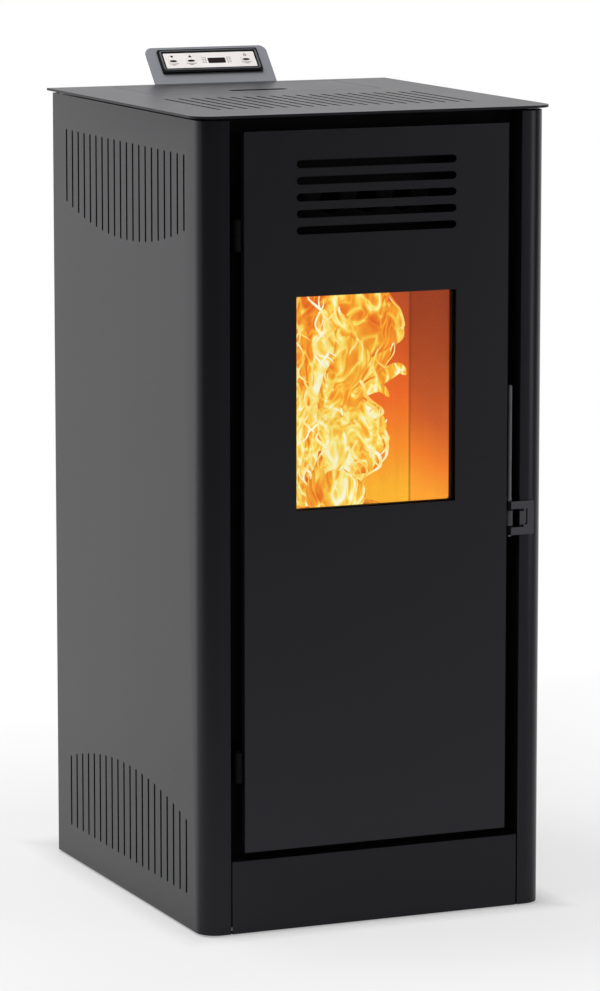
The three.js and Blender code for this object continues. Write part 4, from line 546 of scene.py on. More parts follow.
def softened(node, width=0.4 * MM, segments=2, smooth_angle=32, shade_mask=None):
    """Stands in for a sheet or moulding with the same faces, rounded edges and smooth bends."""
    source = NODES[node]
    bm = bmesh.new()
    bm.from_mesh(source.data)
    bmesh.ops.remove_doubles(bm, verts=bm.verts, dist=2e-6)
    bmesh.ops.dissolve_limit(bm, angle_limit=math.radians(0.6), verts=bm.verts, edges=bm.edges)
    weight = bm.edges.layers.float.new("bevel_weight_edge")
    for edge in bm.edges:
        cut = shade_mask and any(shade_mask(f.calc_center_median(), f.normal) for f in edge.link_faces)
        bent = edge.is_manifold and edge.calc_face_angle() > math.radians(smooth_angle)
        edge[weight] = float(bent and not cut)
    mesh = bpy.data.meshes.new(node + "_finish")
    bm.to_mesh(mesh)
    bm.free()
    mesh.shade_smooth()
    mesh.set_sharp_from_angle(angle=math.radians(smooth_angle))
    look = source.data.materials[0]
    piece = add(node + "_finish", mesh, BODY_OF[node], None, SLOT_OF[node], node)
    mesh.materials.clear()
    mesh.materials.append(look)
    # Faces in the mask take the near-black painted shade.
    if shade_mask:
        mesh.materials.append(LOOKS["painted_slot_shade"])
        for face in mesh.polygons:
            face.material_index = int(shade_mask(face.center, face.normal))
    bevel = piece.modifiers.new("edges", "BEVEL")
    bevel.width = width
    bevel.segments = segments
    bevel.limit_method = "WEIGHT"
    bevel.harden_normals = True
    return piece


SOFT_EDGES = {
    0.35 * MM: ("side_panel_left", "side_panel_right", "rear_panel", "plinth_panel",
                "control_plate", "hopper_lid", "latch_plate", "front_bulkhead"),
    0.5 * MM: ("top_plate", "door_panel", "window_glass", "control_bezel", "mains_switch",
               "power_inlet", "latch_bracket", "latch_rod", "flue_collar", "air_intake_pipe"),
    0.2 * MM: ("keypad_face", "button_down", "button_up", "button_power", "display_window"),
    0.8 * MM: ("window_frame", "burn_pot", "burn_pot_holder", "control_housing", "ash_pan",
               "foot_front_left", "foot_front_right", "foot_rear_left", "foot_rear_right"),
}
# Masks of faces painted near-black as shade: slot walls, and the latch plate's slit and rolled end.
SHADE_MASKS = {node: slot_wall_shade_mask(node) for node in ("top_plate", "hopper_lid", "side_panel_left",
                                                 "side_panel_right", "door_panel", "rear_panel")}
SHADE_MASKS["latch_plate"] = latch_shade_mask
for edge_width, node_names in SOFT_EDGES.items():
    for node_name in node_names:
        softened(node_name, edge_width, shade_mask=SHADE_MASKS.get(node_name))

# ------------------------------------------------------------------ fire


def smooth_rows(rows, count):
    """Catmull-Rom rows between the given ones, all of the same length."""
    out = []
    for i in range(count):
        t = i / (count - 1) * (len(rows) - 1)
        k = min(int(t), len(rows) - 2)
        u = t - k
        p = [rows[max(0, k - 1)], rows[k], rows[k + 1], rows[min(len(rows) - 1, k + 2)]]
        out.append([
            0.5 * (2 * b + (c - a) * u + (2 * a - 5 * b + 4 * c - d) * u * u
                   + (3 * b - a - 3 * c + d) * u ** 3)
            for a, b, c, d in zip(*p)
        ])
    return out


POT_LOW, POT_HIGH = span("burn_pot")
POT_Y = (POT_LOW.y + POT_HIGH.y) / 2 / MM
RIM = POT_HIGH.z / MM
ROOF = span("smoke_baffle")[0].z / MM - 3

def flame(name, rows, look, seed, ruffle, rings=110, around=40):
    """A closed tongue of fire through rows of [height, left, right, middle depth, half depth], mm."""
    bm = bmesh.new()
    rim = bm.verts.layers.float.new("rim")
    loops = []
    for i, (z, left, right, mid_y, half_y) in enumerate(smooth_rows(rows, rings)):
        end = abs(2 * i / (rings - 1) - 1) ** 6
        loop = []
        for j in range(around):
            angle = 2 * math.pi * j / around
            x = (left + right) / 2 + max(0.3, (right - left) / 2) * math.cos(angle)
            y = mid_y + max(0.3, half_y) * math.sin(angle)
            spot = Vector((x * 0.028, y * 0.028, z * 0.022)) + Vector((seed, seed * 0.5, -seed))
            push = noise.noise_vector(spot) * ruffle
            push += noise.noise_vector(spot * 3.1) * ruffle * 0.55
            push *= min(1.0, (right - left) / 30)
            vert = bm.verts.new(((x + push.x) * MM, (y + push.y) * MM, z * MM))
            vert[rim] = max(abs(math.cos(angle)) ** 5, end)
            loop.append(vert)
        loops.append(loop)
    for low, high in zip(loops, loops[1:]):
        for j in range(around):
            k = (j + 1) % around
            bm.faces.new((low[j], low[k], high[k], high[j]))
    bm.faces.new(list(reversed(loops[0])))
    bm.faces.new(loops[-1])
    return burning(name, bm, look)


def wisp(name, path, width, look, steps=30, around=10):
    """A thin curling thread of fire along [x, depth, height] points, mm, pointed at both ends."""
    bm = bmesh.new()
    rim = bm.verts.layers.float.new("rim")
    spots = [Vector(row) for row in smooth_rows(path, steps)]
    loops = []
    for i, spot in enumerate(spots):
        along = spots[min(i + 1, steps - 1)] - spots[max(i - 1, 0)]
        across = Vector((along.z, 0.0, -along.x)).normalized()
        thick = width * math.sin(math.pi * (i + 0.5) / steps) ** 0.7
        loop = []
        for j in range(around):
            angle = 2 * math.pi * j / around
            offset = across * (thick * math.cos(angle))
            offset += Vector((0.0, 0.5 * thick * math.sin(angle), 0.0))
            vert = bm.verts.new((spot + offset) * MM)
            vert[rim] = 0.5 * abs(math.cos(angle)) ** 4
            loop.append(vert)
        loops.append(loop)
    for low, high in zip(loops, loops[1:]):
        for j in range(around):
            k = (j + 1) % around
            bm.faces.new((low[j], low[k], high[k], high[j]))
    bm.faces.new(list(reversed(loops[0])))
    bm.faces.new(loops[-1])
    return burning(name, bm, look)


def burning(name, bm, look):
    """A fire piece stands in the pot and moves with it."""
    bmesh.ops.recalc_face_normals(bm, faces=bm.faces)
    mesh = bpy.data.meshes.new(name)
    bm.to_mesh(mesh)
    bm.free()
    mesh.shade_smooth()
    piece = add(name, mesh, "pot", look, "vermiculite")
    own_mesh(piece)
    return piece

# Outline of the fire as it shows in front of the back wall, from the pot's rim to the baffle.
LOOKS["flame_wide"] = flame_look("flame_wide", 1.0)
LOOKS["flame_hot"] = flame_look("flame_hot", 3.1, 1.15, 0.1)
LOOKS["flame_thin"] = flame_look("flame_thin", 5.7, 0.9, 0.05)

LOOKS["flame_thread"] = thread_look("flame_thread")

FLAMES = {
    "flame_body": ("flame_wide", 1.0, 3.5, [
        [RIM - 6, -34, 18, POT_Y, 22],
        [RIM + 8, -50, 19, POT_Y, 24],
        [RIM + 20, -60, 23, POT_Y, 25],
        [RIM + 30, -64, 32, POT_Y, 26],
        [RIM + 46, -70, 48, POT_Y + 2, 27],
        [RIM + 70, -76, 50, POT_Y + 4, 28],
        [RIM + 94, -80, 52, POT_Y + 5, 29],
        [RIM + 108, -82, 50, POT_Y + 6, 29],
        [RIM + 119, -84, 41, POT_Y + 6, 28],
        [RIM + 127, -84, 28, POT_Y + 6, 27],
        [RIM + 136, -85, 20, POT_Y + 5, 26],
        [RIM + 146, -86, 34, POT_Y + 4, 25],
        [RIM + 158, -86, 56, POT_Y + 2, 25],
        [RIM + 173, -84, 63, POT_Y, 26],
        [RIM + 190, -82, 72, POT_Y - 2, 26],
        [RIM + 208, -80, 73, POT_Y - 3, 26],
        [RIM + 231, -76, 66, POT_Y - 4, 24],
        [RIM + 253, -68, 58, POT_Y - 4, 21],
        [RIM + 273, -58, 48, POT_Y - 3, 17],
        [ROOF, -42, 30, POT_Y - 2, 11],
    ]),
    "flame_lobe": ("flame_hot", 3.1, 2.5, [
        [RIM + 40, 2, 30, POT_Y - 20, 5],
        [RIM + 58, -6, 48, POT_Y - 20, 10],
        [RIM + 84, -8, 52, POT_Y - 21, 13],
        [RIM + 104, -10, 50, POT_Y - 21, 13],
        [RIM + 120, -18, 36, POT_Y - 20, 10],
        [RIM + 136, -26, 10, POT_Y - 18, 6],
        [RIM + 150, -32, -22, POT_Y - 16, 2],
    ]),
    "flame_column": ("flame_hot", 4.7, 4, [
        [RIM - 4, -26, 6, POT_Y - 16, 8],
        [RIM + 34, -44, -8, POT_Y - 22, 10],
        [RIM + 70, -34, 4, POT_Y - 24, 10],
        [RIM + 110, -40, -8, POT_Y - 24, 10],
        [RIM + 150, -34, 14, POT_Y - 24, 10],
        [RIM + 186, -18, 30, POT_Y - 24, 9],
        [RIM + 220, -24, 10, POT_Y - 20, 7],
        [RIM + 250, -20, -8, POT_Y - 16, 3],
    ]),
    "flame_left": ("flame_hot", 5.9, 4, [
        [RIM + 4, -60, -34, POT_Y - 10, 8],
        [RIM + 44, -84, -52, POT_Y - 14, 12],
        [RIM + 96, -90, -52, POT_Y - 16, 12],
        [RIM + 150, -86, -48, POT_Y - 18, 12],
        [RIM + 200, -88, -56, POT_Y - 14, 10],
        [RIM + 250, -80, -66, POT_Y - 8, 3],
    ]),
    "flame_crown": ("flame_thin", 6.4, 4, [
        [RIM + 176, 14, 30, POT_Y - 20, 4],
        [RIM + 198, 10, 70, POT_Y - 24, 10],
        [RIM + 226, -6, 66, POT_Y - 24, 11],
        [RIM + 252, -12, 56, POT_Y - 22, 10],
        [RIM + 276, 4, 36, POT_Y - 16, 6],
        [ROOF - 1, 18, 26, POT_Y - 12, 2],
    ]),
    "flame_foot": ("flame_thin", 7.7, 3, [
        [RIM - 2, -44, 20, POT_Y - 20, 10],
        [RIM + 12, -54, 22, POT_Y - 30, 9],
        [RIM + 28, -56, 18, POT_Y - 32, 7],
        [RIM + 50, -46, -8, POT_Y - 28, 5],
        [RIM + 70, -36, -28, POT_Y - 22, 2],
    ]),
}
for flame_name, (flame_kind, flame_seed, flame_ruffle, flame_rows) in FLAMES.items():
    flame(flame_name, flame_rows, flame_kind, flame_seed, flame_ruffle)

# Tongues that curl out of the fire's right side, as [x, depth, height] points.
FRONT = POT_Y - 28
TONGUES = {
    "tongue_upper": (8.5, [[6, FRONT + 4, RIM + 138], [30, FRONT, RIM + 146], [50, FRONT, RIM + 158],
                           [66, FRONT + 2, RIM + 163], [77, FRONT + 6, RIM + 155]]),
    "tongue_lower": (6, [[0, FRONT + 6, RIM + 122], [22, FRONT, RIM + 138], [40, FRONT, RIM + 142],
                         [54, FRONT + 4, RIM + 130]]),
    "tongue_small": (4, [[30, FRONT + 6, RIM + 92], [46, FRONT + 2, RIM + 86],
                         [58, FRONT + 6, RIM + 78]]),
    "tongue_root": (7, [[-30, FRONT, RIM + 60], [-8, FRONT - 4, RIM + 104],
                        [14, FRONT - 2, RIM + 112], [34, FRONT + 2, RIM + 98]]),
}
for tongue_name, (tongue_width, tongue_path) in TONGUES.items():
    wisp(tongue_name, tongue_path, tongue_width, "flame_hot")


def fire_edge(z):
    """The left and right rim of the main fire body at a height, mm."""
    rows = FLAMES["flame_body"][3]
    for low, high in zip(rows, rows[1:]):
        if low[0] <= z <= high[0]:
            t = (z - low[0]) / (high[0] - low[0])
            return low[1] + (high[1] - low[1]) * t, low[2] + (high[2] - low[2]) * t
    return rows[-1][1], rows[-1][2]


def threads(count, seed):
    """Bright threads that climb the face of the fire, swaying, and cross one another."""
    dice = random.Random(seed)
    for i in range(count):
        z = dice.uniform(RIM - 2, RIM + 225)
        left, right = fire_edge(z)
        x = dice.uniform(left + 6, right - 4)
        lean = dice.choice((-0.75, 0.75)) + dice.uniform(-0.3, 0.3)
        sway = dice.uniform(0, 6.28)
        depth = FRONT - dice.uniform(0, 7)
        path = []
        for k in range(dice.randint(5, 9)):
            path.append([x, depth + 5 * (k / 8 - 0.5) ** 2, z])
            turn = lean * math.cos(0.75 * k + sway) + 0.5 * noise.noise(Vector((x, z, seed)) * 0.02)
            x += 9 * math.sin(turn)
            z += 9 * math.cos(turn) * dice.uniform(0.6, 1.2)
            left, right = fire_edge(z)
            x = min(max(x, left + 2), right - 1)
            z = min(z, ROOF - 4)
        wisp(f"flame_thread_{i:02d}", path, dice.uniform(0.9, 2.3), "flame_thread", 26, 6)


threads(76, 5)

# ------------------------------------------------------------------ pellets and embers


def pellet(bm, place, turn, length, radius, sides=8):
    """One pressed pellet with broken, slightly slanted ends."""
    frame_of = Matrix.Translation(place) @ turn.to_matrix().to_4x4()
    ends = []
    for end, slant in ((-1, 0.2), (1, -0.25)):
        ring = []
        for j in range(sides):
            a = 2 * math.pi * j / sides
            x, y = radius * math.cos(a), radius * math.sin(a)
            ring.append(bm.verts.new(frame_of @ Vector((x, y, end * length / 2 + slant * x))))
        ends.append(ring)
    for j in range(sides):
        k = (j + 1) % sides
        bm.faces.new((ends[0][j], ends[0][k], ends[1][k], ends[1][j]))
    bm.faces.new(list(reversed(ends[0])))
    bm.faces.new(ends[1])


def pellet_heap(name, low, high, top, count, look, body, slot_name, seed):
    """Loose pellets between two plan corners, heaped so that the middle stands highest."""
    dice = random.Random(seed)
    bm = bmesh.new()
    for _ in range(count):
        u, v = dice.uniform(-1, 1), dice.uniform(-1, 1)
        x = (low.x + high.x) / 2 + u * (high.x - low.x) / 2
        y = (low.y + high.y) / 2 + v * (high.y - low.y) / 2
        z = top - (u * u + v * v) * 0.1 * (high.x - low.x) / 2 + dice.uniform(-5, 3) * MM
        lie = Vector((dice.uniform(-1, 1), dice.uniform(-1, 1), dice.uniform(-0.35, 0.35)))
        pellet(bm, Vector((x, y, z)), lie.to_track_quat("Z", "Y"), dice.uniform(12, 24) * MM, 3 * MM)
    mesh = bpy.data.meshes.new(name)
    bm.to_mesh(mesh)
    bm.free()
    mesh.set_sharp_from_angle(angle=math.radians(50))
    return add(name, mesh, body, look, slot_name)


HOPPER_LOW, HOPPER_HIGH = span("pellet_hopper")
WALL = Vector((14, 14, 0)) * MM
pellet_heap("hopper_pellets", HOPPER_LOW + WALL, HOPPER_HIGH - WALL, 0.86, 900, "pellet", "casing",
            "bare_steel", 11)
LOOKS["ember"] = ember_look("ember", 3)
CUP = Vector((20, 20, 0)) * MM
pellet_heap("burn_pot_embers", POT_LOW + CUP, POT_HIGH - CUP, POT_HIGH.z - 14 * MM, 60, "ember",
            "pot", "cast_iron", 12)

# ------------------------------------------------------------------ control panel

# The panel's own axes: across, up its slope, and out of its face.
PLATE_FACES = NODES["control_plate"].data.polygons
ACROSS = Vector((1.0, 0.0, 0.0))
OUT = max((f for f in PLATE_FACES if f.normal.y < -0.3 and f.normal.z > 0.3),
          key=lambda f: f.area).normal.normalized()
SLOPE = OUT.cross(ACROSS)


def panel_span(node):
    """A node's lowest and highest places along the panel's own axes."""
    spots = [(v.co @ ACROSS, v.co @ SLOPE, v.co @ OUT) for v in NODES[node].data.vertices]
    return Vector(map(min, zip(*spots))), Vector(map(max, zip(*spots)))


def on_panel(across, up, out):
    return ACROSS * across + SLOPE * up + OUT * out


def printed(name, outlines, level, body, look, thick=0.16 * MM):
    """Flat marks on the panel: closed plates over [across, up] outlines, standing at a level."""
    bm = bmesh.new()
    for outline in outlines:
        low = [bm.verts.new(on_panel(x, y, level - thick / 2)) for x, y in outline]
        high = [bm.verts.new(on_panel(x, y, level + thick)) for x, y in outline]
        bm.faces.new(list(reversed(low)))
        bm.faces.new(high)
        for i in range(len(outline)):
            k = (i + 1) % len(outline)
            bm.faces.new((low[i], low[k], high[k], high[i]))
    bmesh.ops.recalc_face_normals(bm, faces=bm.faces)
    mesh = bpy.data.meshes.new(name)
    bm.to_mesh(mesh)
    bm.free()
    return add(name, mesh, body, look, "black_plastic")


def oval(x, y, half_x, half_y, sides=20, start=0.0, sweep=2 * math.pi):
    return [(x + half_x * math.cos(start + sweep * i / sides),
             y + half_y * math.sin(start + sweep * i / sides)) for i in range(sides)]


def bar(x, y, half_x, half_y):
    return [(x - half_x, y - half_y), (x + half_x, y - half_y), (x + half_x, y + half_y),
            (x - half_x, y + half_y)]


def arc_band(x, y, radius, thick, start, sweep, sides=20):
    outer = [(x + radius * math.cos(start + sweep * i / sides),
              y + radius * math.sin(start + sweep * i / sides)) for i in range(sides + 1)]
    inner = [(x + (px - x) * (1 - thick / radius), y + (py - y) * (1 - thick / radius))
             for px, py in outer]
    return [[outer[i], outer[i + 1], inner[i + 1], inner[i]] for i in range(sides)]


FACE_LOW, FACE_HIGH = panel_span("keypad_face")
DISPLAY_LOW, DISPLAY_HIGH = panel_span("display_window")


def key_marks(node, sign):
    """A dark pad on a key, and its sign on the film above it."""
    low, high = panel_span(node)
    x, y = (low.x + high.x) / 2, (low.y + high.y) / 2
    pad = oval(x, y, (high.x - low.x) * 0.4, (high.y - low.y) * 0.2)
    printed(node + "_pad", [pad], high.z, BODY_OF[node], "ink")
    above = high.y + 3.4 * MM
    if sign == "power":
        shapes = arc_band(x, above, 2.0 * MM, 0.55 * MM, math.radians(125), math.radians(290))
        shapes.append(bar(x, above + 1.6 * MM, 0.3 * MM, 1.2 * MM))
    else:
        tip = above + (2.0 if sign == "up" else -2.0) * MM
        foot = above - (1.4 if sign == "up" else -1.4) * MM
        shapes = [[(x - 2.3 * MM, foot), (x + 2.3 * MM, foot), (x, tip)]]
    printed(node + "_sign", shapes, FACE_HIGH.z, "casing", "ink")
    rail = [bar(x, low.y - 1.7 * MM, 2.6 * MM, 0.25 * MM)]
    printed(node + "_rail", rail, FACE_HIGH.z, "casing", "ink")


for key_node, key_sign in (("button_down", "down"), ("button_up", "up"), ("button_power", "power")):
    key_marks(key_node, key_sign)


def indicator_lamps():
    """Small status lamps in a column each side of the display, each with a short tick mark."""
    rows = 4
    lamps, ticks = [], []
    for side, edge in ((-1, DISPLAY_LOW.x), (1, DISPLAY_HIGH.x)):
        for i in range(rows):
            up = DISPLAY_LOW.y + (DISPLAY_HIGH.y - DISPLAY_LOW.y) * (i + 0.5) / rows * 1.3 - 0.6 * MM
            lamps.append(oval(edge + side * 3.2 * MM, up, 0.7 * MM, 0.7 * MM, 12))
            ticks.append(bar(edge + side * 6.4 * MM, up, 1.5 * MM, 0.2 * MM))
    printed("indicator_lamps", lamps, FACE_HIGH.z, "casing", "lamp_off")
    printed("indicator_ticks", ticks, FACE_HIGH.z, "casing", "ink")


def tube_round(name, spots, radius, body, look, slot_name, around=10):
    """A closed round bar along a closed path."""
    bm = bmesh.new()
    count = len(spots)
    loops = []
    for i, spot in enumerate(spots):
        along = (spots[(i + 1) % count] - spots[i - 1]).normalized()
        side = along.cross(OUT).normalized()
        top = side.cross(along)
        loops.append([bm.verts.new(spot + (side * math.cos(2 * math.pi * j / around)
                                           + top * math.sin(2 * math.pi * j / around)) * radius)
                      for j in range(around)])
    for i in range(count):
        low, high = loops[i], loops[(i + 1) % count]
        for j in range(around):
            k = (j + 1) % around
            bm.faces.new((low[j], low[k], high[k], high[j]))
    bmesh.ops.recalc_face_normals(bm, faces=bm.faces)
    mesh = bpy.data.meshes.new(name)
    bm.to_mesh(mesh)
    bm.free()
    mesh.shade_smooth()
    return add(name, mesh, body, look, slot_name)


def bezel_ring():
    """The paler raised bead halfway across the black bezel."""
    low, high = panel_span("control_bezel")
    mid_x = (high.x - FACE_HIGH.x + FACE_LOW.x - low.x) / 4
    mid_y = (high.y - FACE_HIGH.y + FACE_LOW.y - low.y) / 4
    left, right = low.x + mid_x, high.x - mid_x
    foot, head = low.y + mid_y, high.y - mid_y
    corner = 3.0 * MM
    spots = []
    for x, y, start in ((right - corner, head - corner, 0), (left + corner, head - corner, 90),
                        (left + corner, foot + corner, 180), (right - corner, foot + corner, 270)):
        for i in range(7):
            turn = math.radians(start + 15 * i)
            spots.append(on_panel(x + corner * math.cos(turn), y + corner * math.sin(turn), high.z))
    tube_round("bezel_bead", spots, 1.1 * MM, "casing", "ring_plastic", "black_plastic")


indicator_lamps()
bezel_ring()

# ------------------------------------------------------------------ rope seal and screws


def twisted_rope(node, strands=3, pitch=17.0 * MM):
    """A laid rope along a rounded rectangle, in place of a seal's plain cord."""
    low, high = span(node)
    inner = 127.0 * MM
    thick = high.x - inner
    reach = (high.y - low.y) * 0.45
    corner = 18 * MM
    left, right = low.x + thick / 2, high.x - thick / 2
    foot, head = low.z + thick / 2, high.z - thick / 2
    depth = (low.y + high.y) / 2
    spots = []
    for x, z, start in ((right, head, 0), (left, head, 90), (left, foot, 180), (right, foot, 270)):
        cx = x - math.copysign(corner, x - (left + right) / 2)
        cz = z - math.copysign(corner, z - (foot + head) / 2)
        for i in range(9):
            turn = math.radians(start + 90 * i / 8)
            spots.append(Vector((cx + corner * math.cos(turn), depth, cz + corner * math.sin(turn))))
    spots = evenly(spots, 1.5 * MM)
    count = len(spots)
    turns = round(count * 1.5 * MM / pitch)
    bm = bmesh.new()
    away = Vector((0.0, 1.0, 0.0))
    for strand in range(strands):
        loops = []
        for i, spot in enumerate(spots):
            along = (spots[(i + 1) % count] - spots[i - 1]).normalized()
            side = along.cross(away)
            lay = 2 * math.pi * (turns * i / count + strand / strands)
            core = spot + (side * math.cos(lay) + away * math.sin(lay)) * reach * 0.46
            loops.append([bm.verts.new(core + (side * math.cos(a) + away * math.sin(a)) * reach * 0.54)
                          for a in (2 * math.pi * j / 8 for j in range(8))])
        for i in range(count):
            here, there = loops[i], loops[(i + 1) % count]
            for j in range(8):
                k = (j + 1) % 8
                bm.faces.new((here[j], here[k], there[k], there[j]))
    bmesh.ops.recalc_face_normals(bm, faces=bm.faces)
    mesh = bpy.data.meshes.new(node + "_rope")
    bm.to_mesh(mesh)
    bm.free()
    mesh.shade_smooth()
    return add(node + "_rope", mesh, BODY_OF[node], "rope", SLOT_OF[node], node)


def evenly(spots, step):
    """The same closed path, in even short steps."""
    ends = spots[1:] + spots[:1]
    lengths = [(b - a).length for a, b in zip(spots, ends)]
    count = int(sum(lengths) / step)
    out, leg, gone = [], 0, 0.0
    for i in range(count):
        want = sum(lengths) * i / count
        while gone + lengths[leg] < want:
            gone += lengths[leg]
            leg += 1
        out.append(spots[leg].lerp(ends[leg], (want - gone) / max(lengths[leg], 1e-9)))
    return out


def screws(name, places, out, radius, body, look="zinc_screw"):
    """Low domed screw heads with a hexagon socket, standing on a face."""
    side = out.orthogonal().normalized()
    other = out.cross(side)
    rings = ((1.0, -0.1, 0), (1.0, 0.2, 0), (0.82, 0.46, 0), (0.5, 0.58, 0), (0.38, 0.58, 1),
             (0.36, 0.2, 1))
    sides = 18
    bm = bmesh.new()
    for place in places:
        loops = []
        for share, height, hexed in rings:
            loop = []
            for j in range(sides):
                angle = 2 * math.pi * j / sides
                flat = math.cos(math.pi / 6) / math.cos(angle % (math.pi / 3) - math.pi / 6)
                r = radius * share * (flat if hexed else 1.0)
                loop.append(bm.verts.new(place + (side * math.cos(angle) + other * math.sin(angle)) * r
                                         + out * radius * height))
            loops.append(loop)
        for low, high in zip(loops, loops[1:]):
            for j in range(sides):
                k = (j + 1) % sides
                bm.faces.new((low[j], low[k], high[k], high[j]))
        bm.faces.new(loops[-1])
        bm.faces.new(list(reversed(loops[0])))
    bmesh.ops.recalc_face_normals(bm, faces=bm.faces)
    mesh = bpy.data.meshes.new(name)
    bm.to_mesh(mesh)
    bm.free()
    mesh.shade_smooth()
    mesh.set_sharp_from_angle(angle=math.radians(40))
    return add(name, mesh, body, look, "bare_steel")


LOOKS["zinc_screw"] = sheet_steel("zinc_screw", srgb(120, 121, 124), roughness=0.4)
twisted_rope("door_rope_seal")

REAR_LOW, REAR_HIGH = span("rear_panel")
REAR_INSET = 9 * MM
rear_rows = [REAR_LOW.z + (REAR_HIGH.z - REAR_LOW.z) * (i + 0.5) / 5 for i in range(5)]
screws("rear_screws", [Vector((side * (REAR_HIGH.x - REAR_INSET), REAR_HIGH.y, z))
                       for side in (-1, 1) for z in rear_rows],
       Vector((0, 1, 0)), 3.4 * MM, "casing")

FRAME_LOW, FRAME_HIGH = span("window_frame")
FRAME_INSET = 13 * MM
frame_rows = [FRAME_LOW.z + FRAME_INSET, (FRAME_LOW.z + FRAME_HIGH.z) / 2,
              FRAME_HIGH.z - FRAME_INSET]
screws("frame_screws", [Vector((side * (FRAME_HIGH.x - FRAME_INSET), FRAME_HIGH.y, z))
                        for side in (-1, 1) for z in frame_rows],
       Vector((0, 1, 0)), 3.6 * MM, "door")

# ------------------------------------------------------------------ louvre hoods, plinth seams


def lofted(name, sections, body, look, slot_name):
    """A closed solid through a row of equal closed sections, with capped ends."""
    bm = bmesh.new()
    loops = [[bm.verts.new(place) for place in section] for section in sections]
    count = len(loops[0])
    for low, high in zip(loops, loops[1:]):
        for j in range(count):
            k = (j + 1) % count
            bm.faces.new((low[j], low[k], high[k], high[j]))
    bm.faces.new(loops[-1])
    bm.faces.new(list(reversed(loops[0])))
    bmesh.ops.recalc_face_normals(bm, faces=bm.faces)
    mesh = bpy.data.meshes.new(name)
    bm.to_mesh(mesh)
    bm.free()
    mesh.shade_smooth()
    mesh.set_sharp_from_angle(angle=math.radians(40))
    return add(name, mesh, body, look, slot_name)


LOUVRE_ROWS = 8
LOUVRE_PITCH = 14 * MM
LOUVRE_DROP = 120 * MM  # from the rear panel's top edge to the first row
LOUVRE_X = 105 * MM
LOUVRE_HALF = 55 * MM
HOOD_DEPTH = 5 * MM
HOOD_SHEET = 0.8 * MM
# The hood's fall, as a share of its depth and as a height over the slot's middle.
HOOD_PROFILE = ((0.0, 3.2 * MM), (0.45, 2.9 * MM), (0.85, 1.6 * MM), (1.0, -0.4 * MM),
                (1.0, -3.4 * MM))


def louvre_hood(name, middle_x, middle_z):
    """A pressed hood inside one louvre, open at its foot, with closed round ends."""
    low, high = span("rear_panel")
    inner = high.y - 1.5 * MM
    sections = []
    for i in range(25):
        across = (2 * i / 24 - 1) * (LOUVRE_HALF + 1.5 * MM)
        past = max(0.0, abs(across) - (LOUVRE_HALF - 6 * MM)) / (7.5 * MM)
        depth = max(HOOD_DEPTH * math.sqrt(max(0.0, 1 - past * past)), 0.9 * MM)
        outer = [(share * depth, rise) for share, rise in HOOD_PROFILE]
        inside = [(max(share * depth - HOOD_SHEET, 0.0), rise - (HOOD_SHEET if share < 1 else 0.0))
                  for share, rise in HOOD_PROFILE]
        sections.append([Vector((middle_x + across, inner - away, middle_z + rise))
                         for away, rise in outer + inside[::-1]])
    return lofted(name, sections, "casing", "black_coat", SLOT_OF["rear_panel"])


for row in range(LOUVRE_ROWS):
    for label, side in (("left", -1), ("right", 1)):
        louvre_hood(f"louvre_hood_{label}_{row}", side * LOUVRE_X,
                    span("rear_panel")[1].z - LOUVRE_DROP - LOUVRE_PITCH * row)


def seam_bead(name, side):
    """A rubber bead that closes the thin gap between the plinth panel and a column."""
    low, high = span("plinth_panel")
    column = span("side_panel_right")[0].x
    near, far = high.x + 0.1 * MM, column - 0.1 * MM
    middle, half = (near + far) / 2, (far - near) / 2
    front = low.y + 3 * MM
    section = [(middle + half * math.cos(a), front - half * math.sin(a))
               for a in (math.pi * i / 8 for i in range(9))]
    section += [(near, front + 6 * MM), (far, front + 6 * MM)]
    heights = (low.z + 0.1 * MM, high.z - 0.5 * MM)
    sections = [[Vector((side * x, y, z)) for x, y in section] for z in heights]
    return lofted(name, sections, "casing", "rubber", "rubber")


seam_bead("plinth_seam_left", -1)
seam_bead("plinth_seam_right", 1)

# ------------------------------------------------------------------ stage, light and camera

GROUND = srgb(250, 250, 250)
SHADOW_DEPTH = 0.3
WORLD_FILL = 0.12


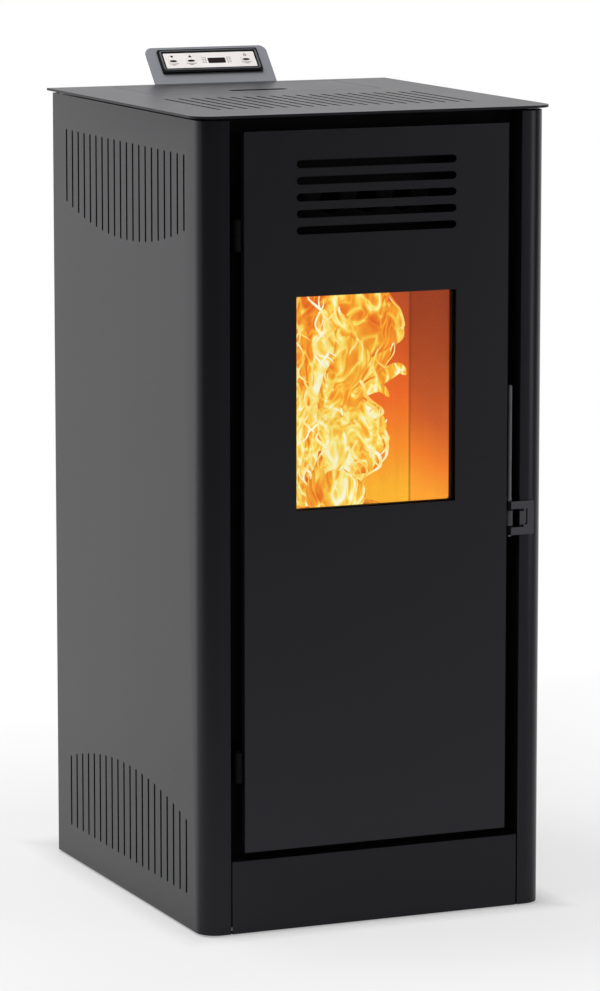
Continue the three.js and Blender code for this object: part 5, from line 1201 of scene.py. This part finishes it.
def floor():
    """A white floor that shows as the plain background and still takes the stove's shadow."""
    mesh = bpy.data.meshes.new("floor")
    reach = 40.0
    mesh.from_pydata([(-reach, -reach, 0), (reach, -reach, 0), (reach, reach, 0), (-reach, reach, 0)],
                     [], [(0, 1, 2, 3)])
    look = Look("floor", 0.9)
    look.to("Base Color", look.ramp(look.noise(3.0), (0.0, scaled(GROUND, 0.99)), (1.0, GROUND)))
    path = look.node("ShaderNodeLightPath")
    behind = look.range(look.axis(1), -0.9, 0.1)
    mirrored = look.math("MULTIPLY", path.outputs["Is Glossy Ray"], behind)
    seen = look.math("MAXIMUM", path.outputs["Is Camera Ray"], mirrored)
    seen = look.math("MAXIMUM", seen, path.outputs["Is Transmission Ray"])
    half = (CAD_BOX[1] - CAD_BOX[0]) / 2
    off_x = look.math("SUBTRACT", look.math("ABSOLUTE", look.axis(0)), half.x)
    off_y = look.math("SUBTRACT", look.math("ABSOLUTE", look.axis(1)), half.y)
    off = look.math("MAXIMUM", off_x, off_y)
    open_floor = look.range(off, -0.06, 0.03)
    plain = look.range(off, 0.15, 0.75, 1.0 - SHADOW_DEPTH, 1.0)
    plain = look.math("MULTIPLY", plain, open_floor)
    glow = look.node("ShaderNodeEmission", Strength=1.0)
    both = look.node("ShaderNodeMixShader", Fac=look.math("MULTIPLY", seen, plain))
    look.tree.links.new(look.shader.outputs[0], both.inputs[1])
    look.tree.links.new(glow.outputs[0], both.inputs[2])
    look.tree.links.new(both.outputs[0], look.tree.nodes["Material Output"].inputs["Surface"])
    mesh.materials.append(look.mat)
    plane = bpy.data.objects.new("floor", mesh)
    bpy.context.scene.collection.objects.link(plane)
    plane.location.z = CAD_BOX[0].z
    plane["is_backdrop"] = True


def area_light(name, place, aim, size, power, colour=(1, 1, 1)):
    data = bpy.data.lights.new(name, "AREA")
    data.shape = "RECTANGLE"
    data.size, data.size_y = size
    data.energy = power
    data.color = colour
    lamp = bpy.data.objects.new(name, data)
    lamp.location = place
    lamp.rotation_euler = (Vector(aim) - Vector(place)).to_track_quat("-Z", "Y").to_euler()
    bpy.context.scene.collection.objects.link(lamp)


def world():
    """White behind the stove for camera, gloss and glass, and a dim even fill otherwise."""
    scene_world = bpy.data.worlds.new("studio")
    scene_world.use_nodes = True
    bpy.context.scene.world = scene_world
    tree = scene_world.node_tree
    tree.nodes.clear()

    def joined(kind, *inputs, operation=None):
        made = tree.nodes.new(kind)
        if operation:
            made.operation = operation
        for socket, value in zip(made.inputs, inputs):
            if isinstance(value, bpy.types.NodeSocket):
                tree.links.new(value, socket)
            elif value is not None:
                socket.default_value = value
        return made

    path = joined("ShaderNodeLightPath").outputs
    toward = joined("ShaderNodeSeparateXYZ", joined("ShaderNodeTexCoord").outputs["Generated"])
    behind = joined("ShaderNodeMapRange", toward.outputs[1], 0.0, 0.6, 0.0, 1.0).outputs[0]
    gloss = joined("ShaderNodeMath", path["Is Glossy Ray"], behind, operation="MULTIPLY").outputs[0]
    seen = joined("ShaderNodeMath", path["Is Camera Ray"], gloss, operation="MAXIMUM").outputs[0]
    seen = joined("ShaderNodeMath", seen, path["Is Transmission Ray"], operation="MAXIMUM").outputs[0]
    dim = joined("ShaderNodeBackground", (1, 1, 1, 1), WORLD_FILL).outputs[0]
    white = joined("ShaderNodeBackground", (1, 1, 1, 1), 1.0).outputs[0]
    mix = joined("ShaderNodeMixShader", seen, dim, white).outputs[0]
    joined("ShaderNodeOutputWorld", mix)


floor()
world()
area_light("key_back_left", (-2.9, 2.1, 0.8), (-0.2, 0, 0.4), (2.0, 2.0), 8)
area_light("top_soft", (-0.5, 0.15, 3.0), (0, 0.1, 0.8), (2.0, 2.0), 64)
area_light("fill_front_right", (2.6, -2.6, 0.6), (0.1, 0, 0.4), (1.2, 1.8), 16)

# The camera stands where the photograph was taken, fitted to the casing's edges.
CAMERA_PLACE = Vector((-2.2394, -5.2620, 1.3874))
CAMERA_LENS = 172.85
CAMERA_PAN = 23.206  # degrees, towards +X
CAMERA_DIP = 9.111


def camera():
    data = bpy.data.cameras.new("camera")
    data.lens = CAMERA_LENS
    data.sensor_width = 36.0
    data.clip_end = 100.0
    taken = bpy.data.objects.new("camera", data)
    taken.location = CAMERA_PLACE
    taken.rotation_euler = (math.radians(90 - CAMERA_DIP), 0.0, -math.radians(CAMERA_PAN))
    bpy.context.scene.collection.objects.link(taken)
    bpy.context.scene.camera = taken


camera()
bpy.context.scene.view_settings.view_transform = "Standard"
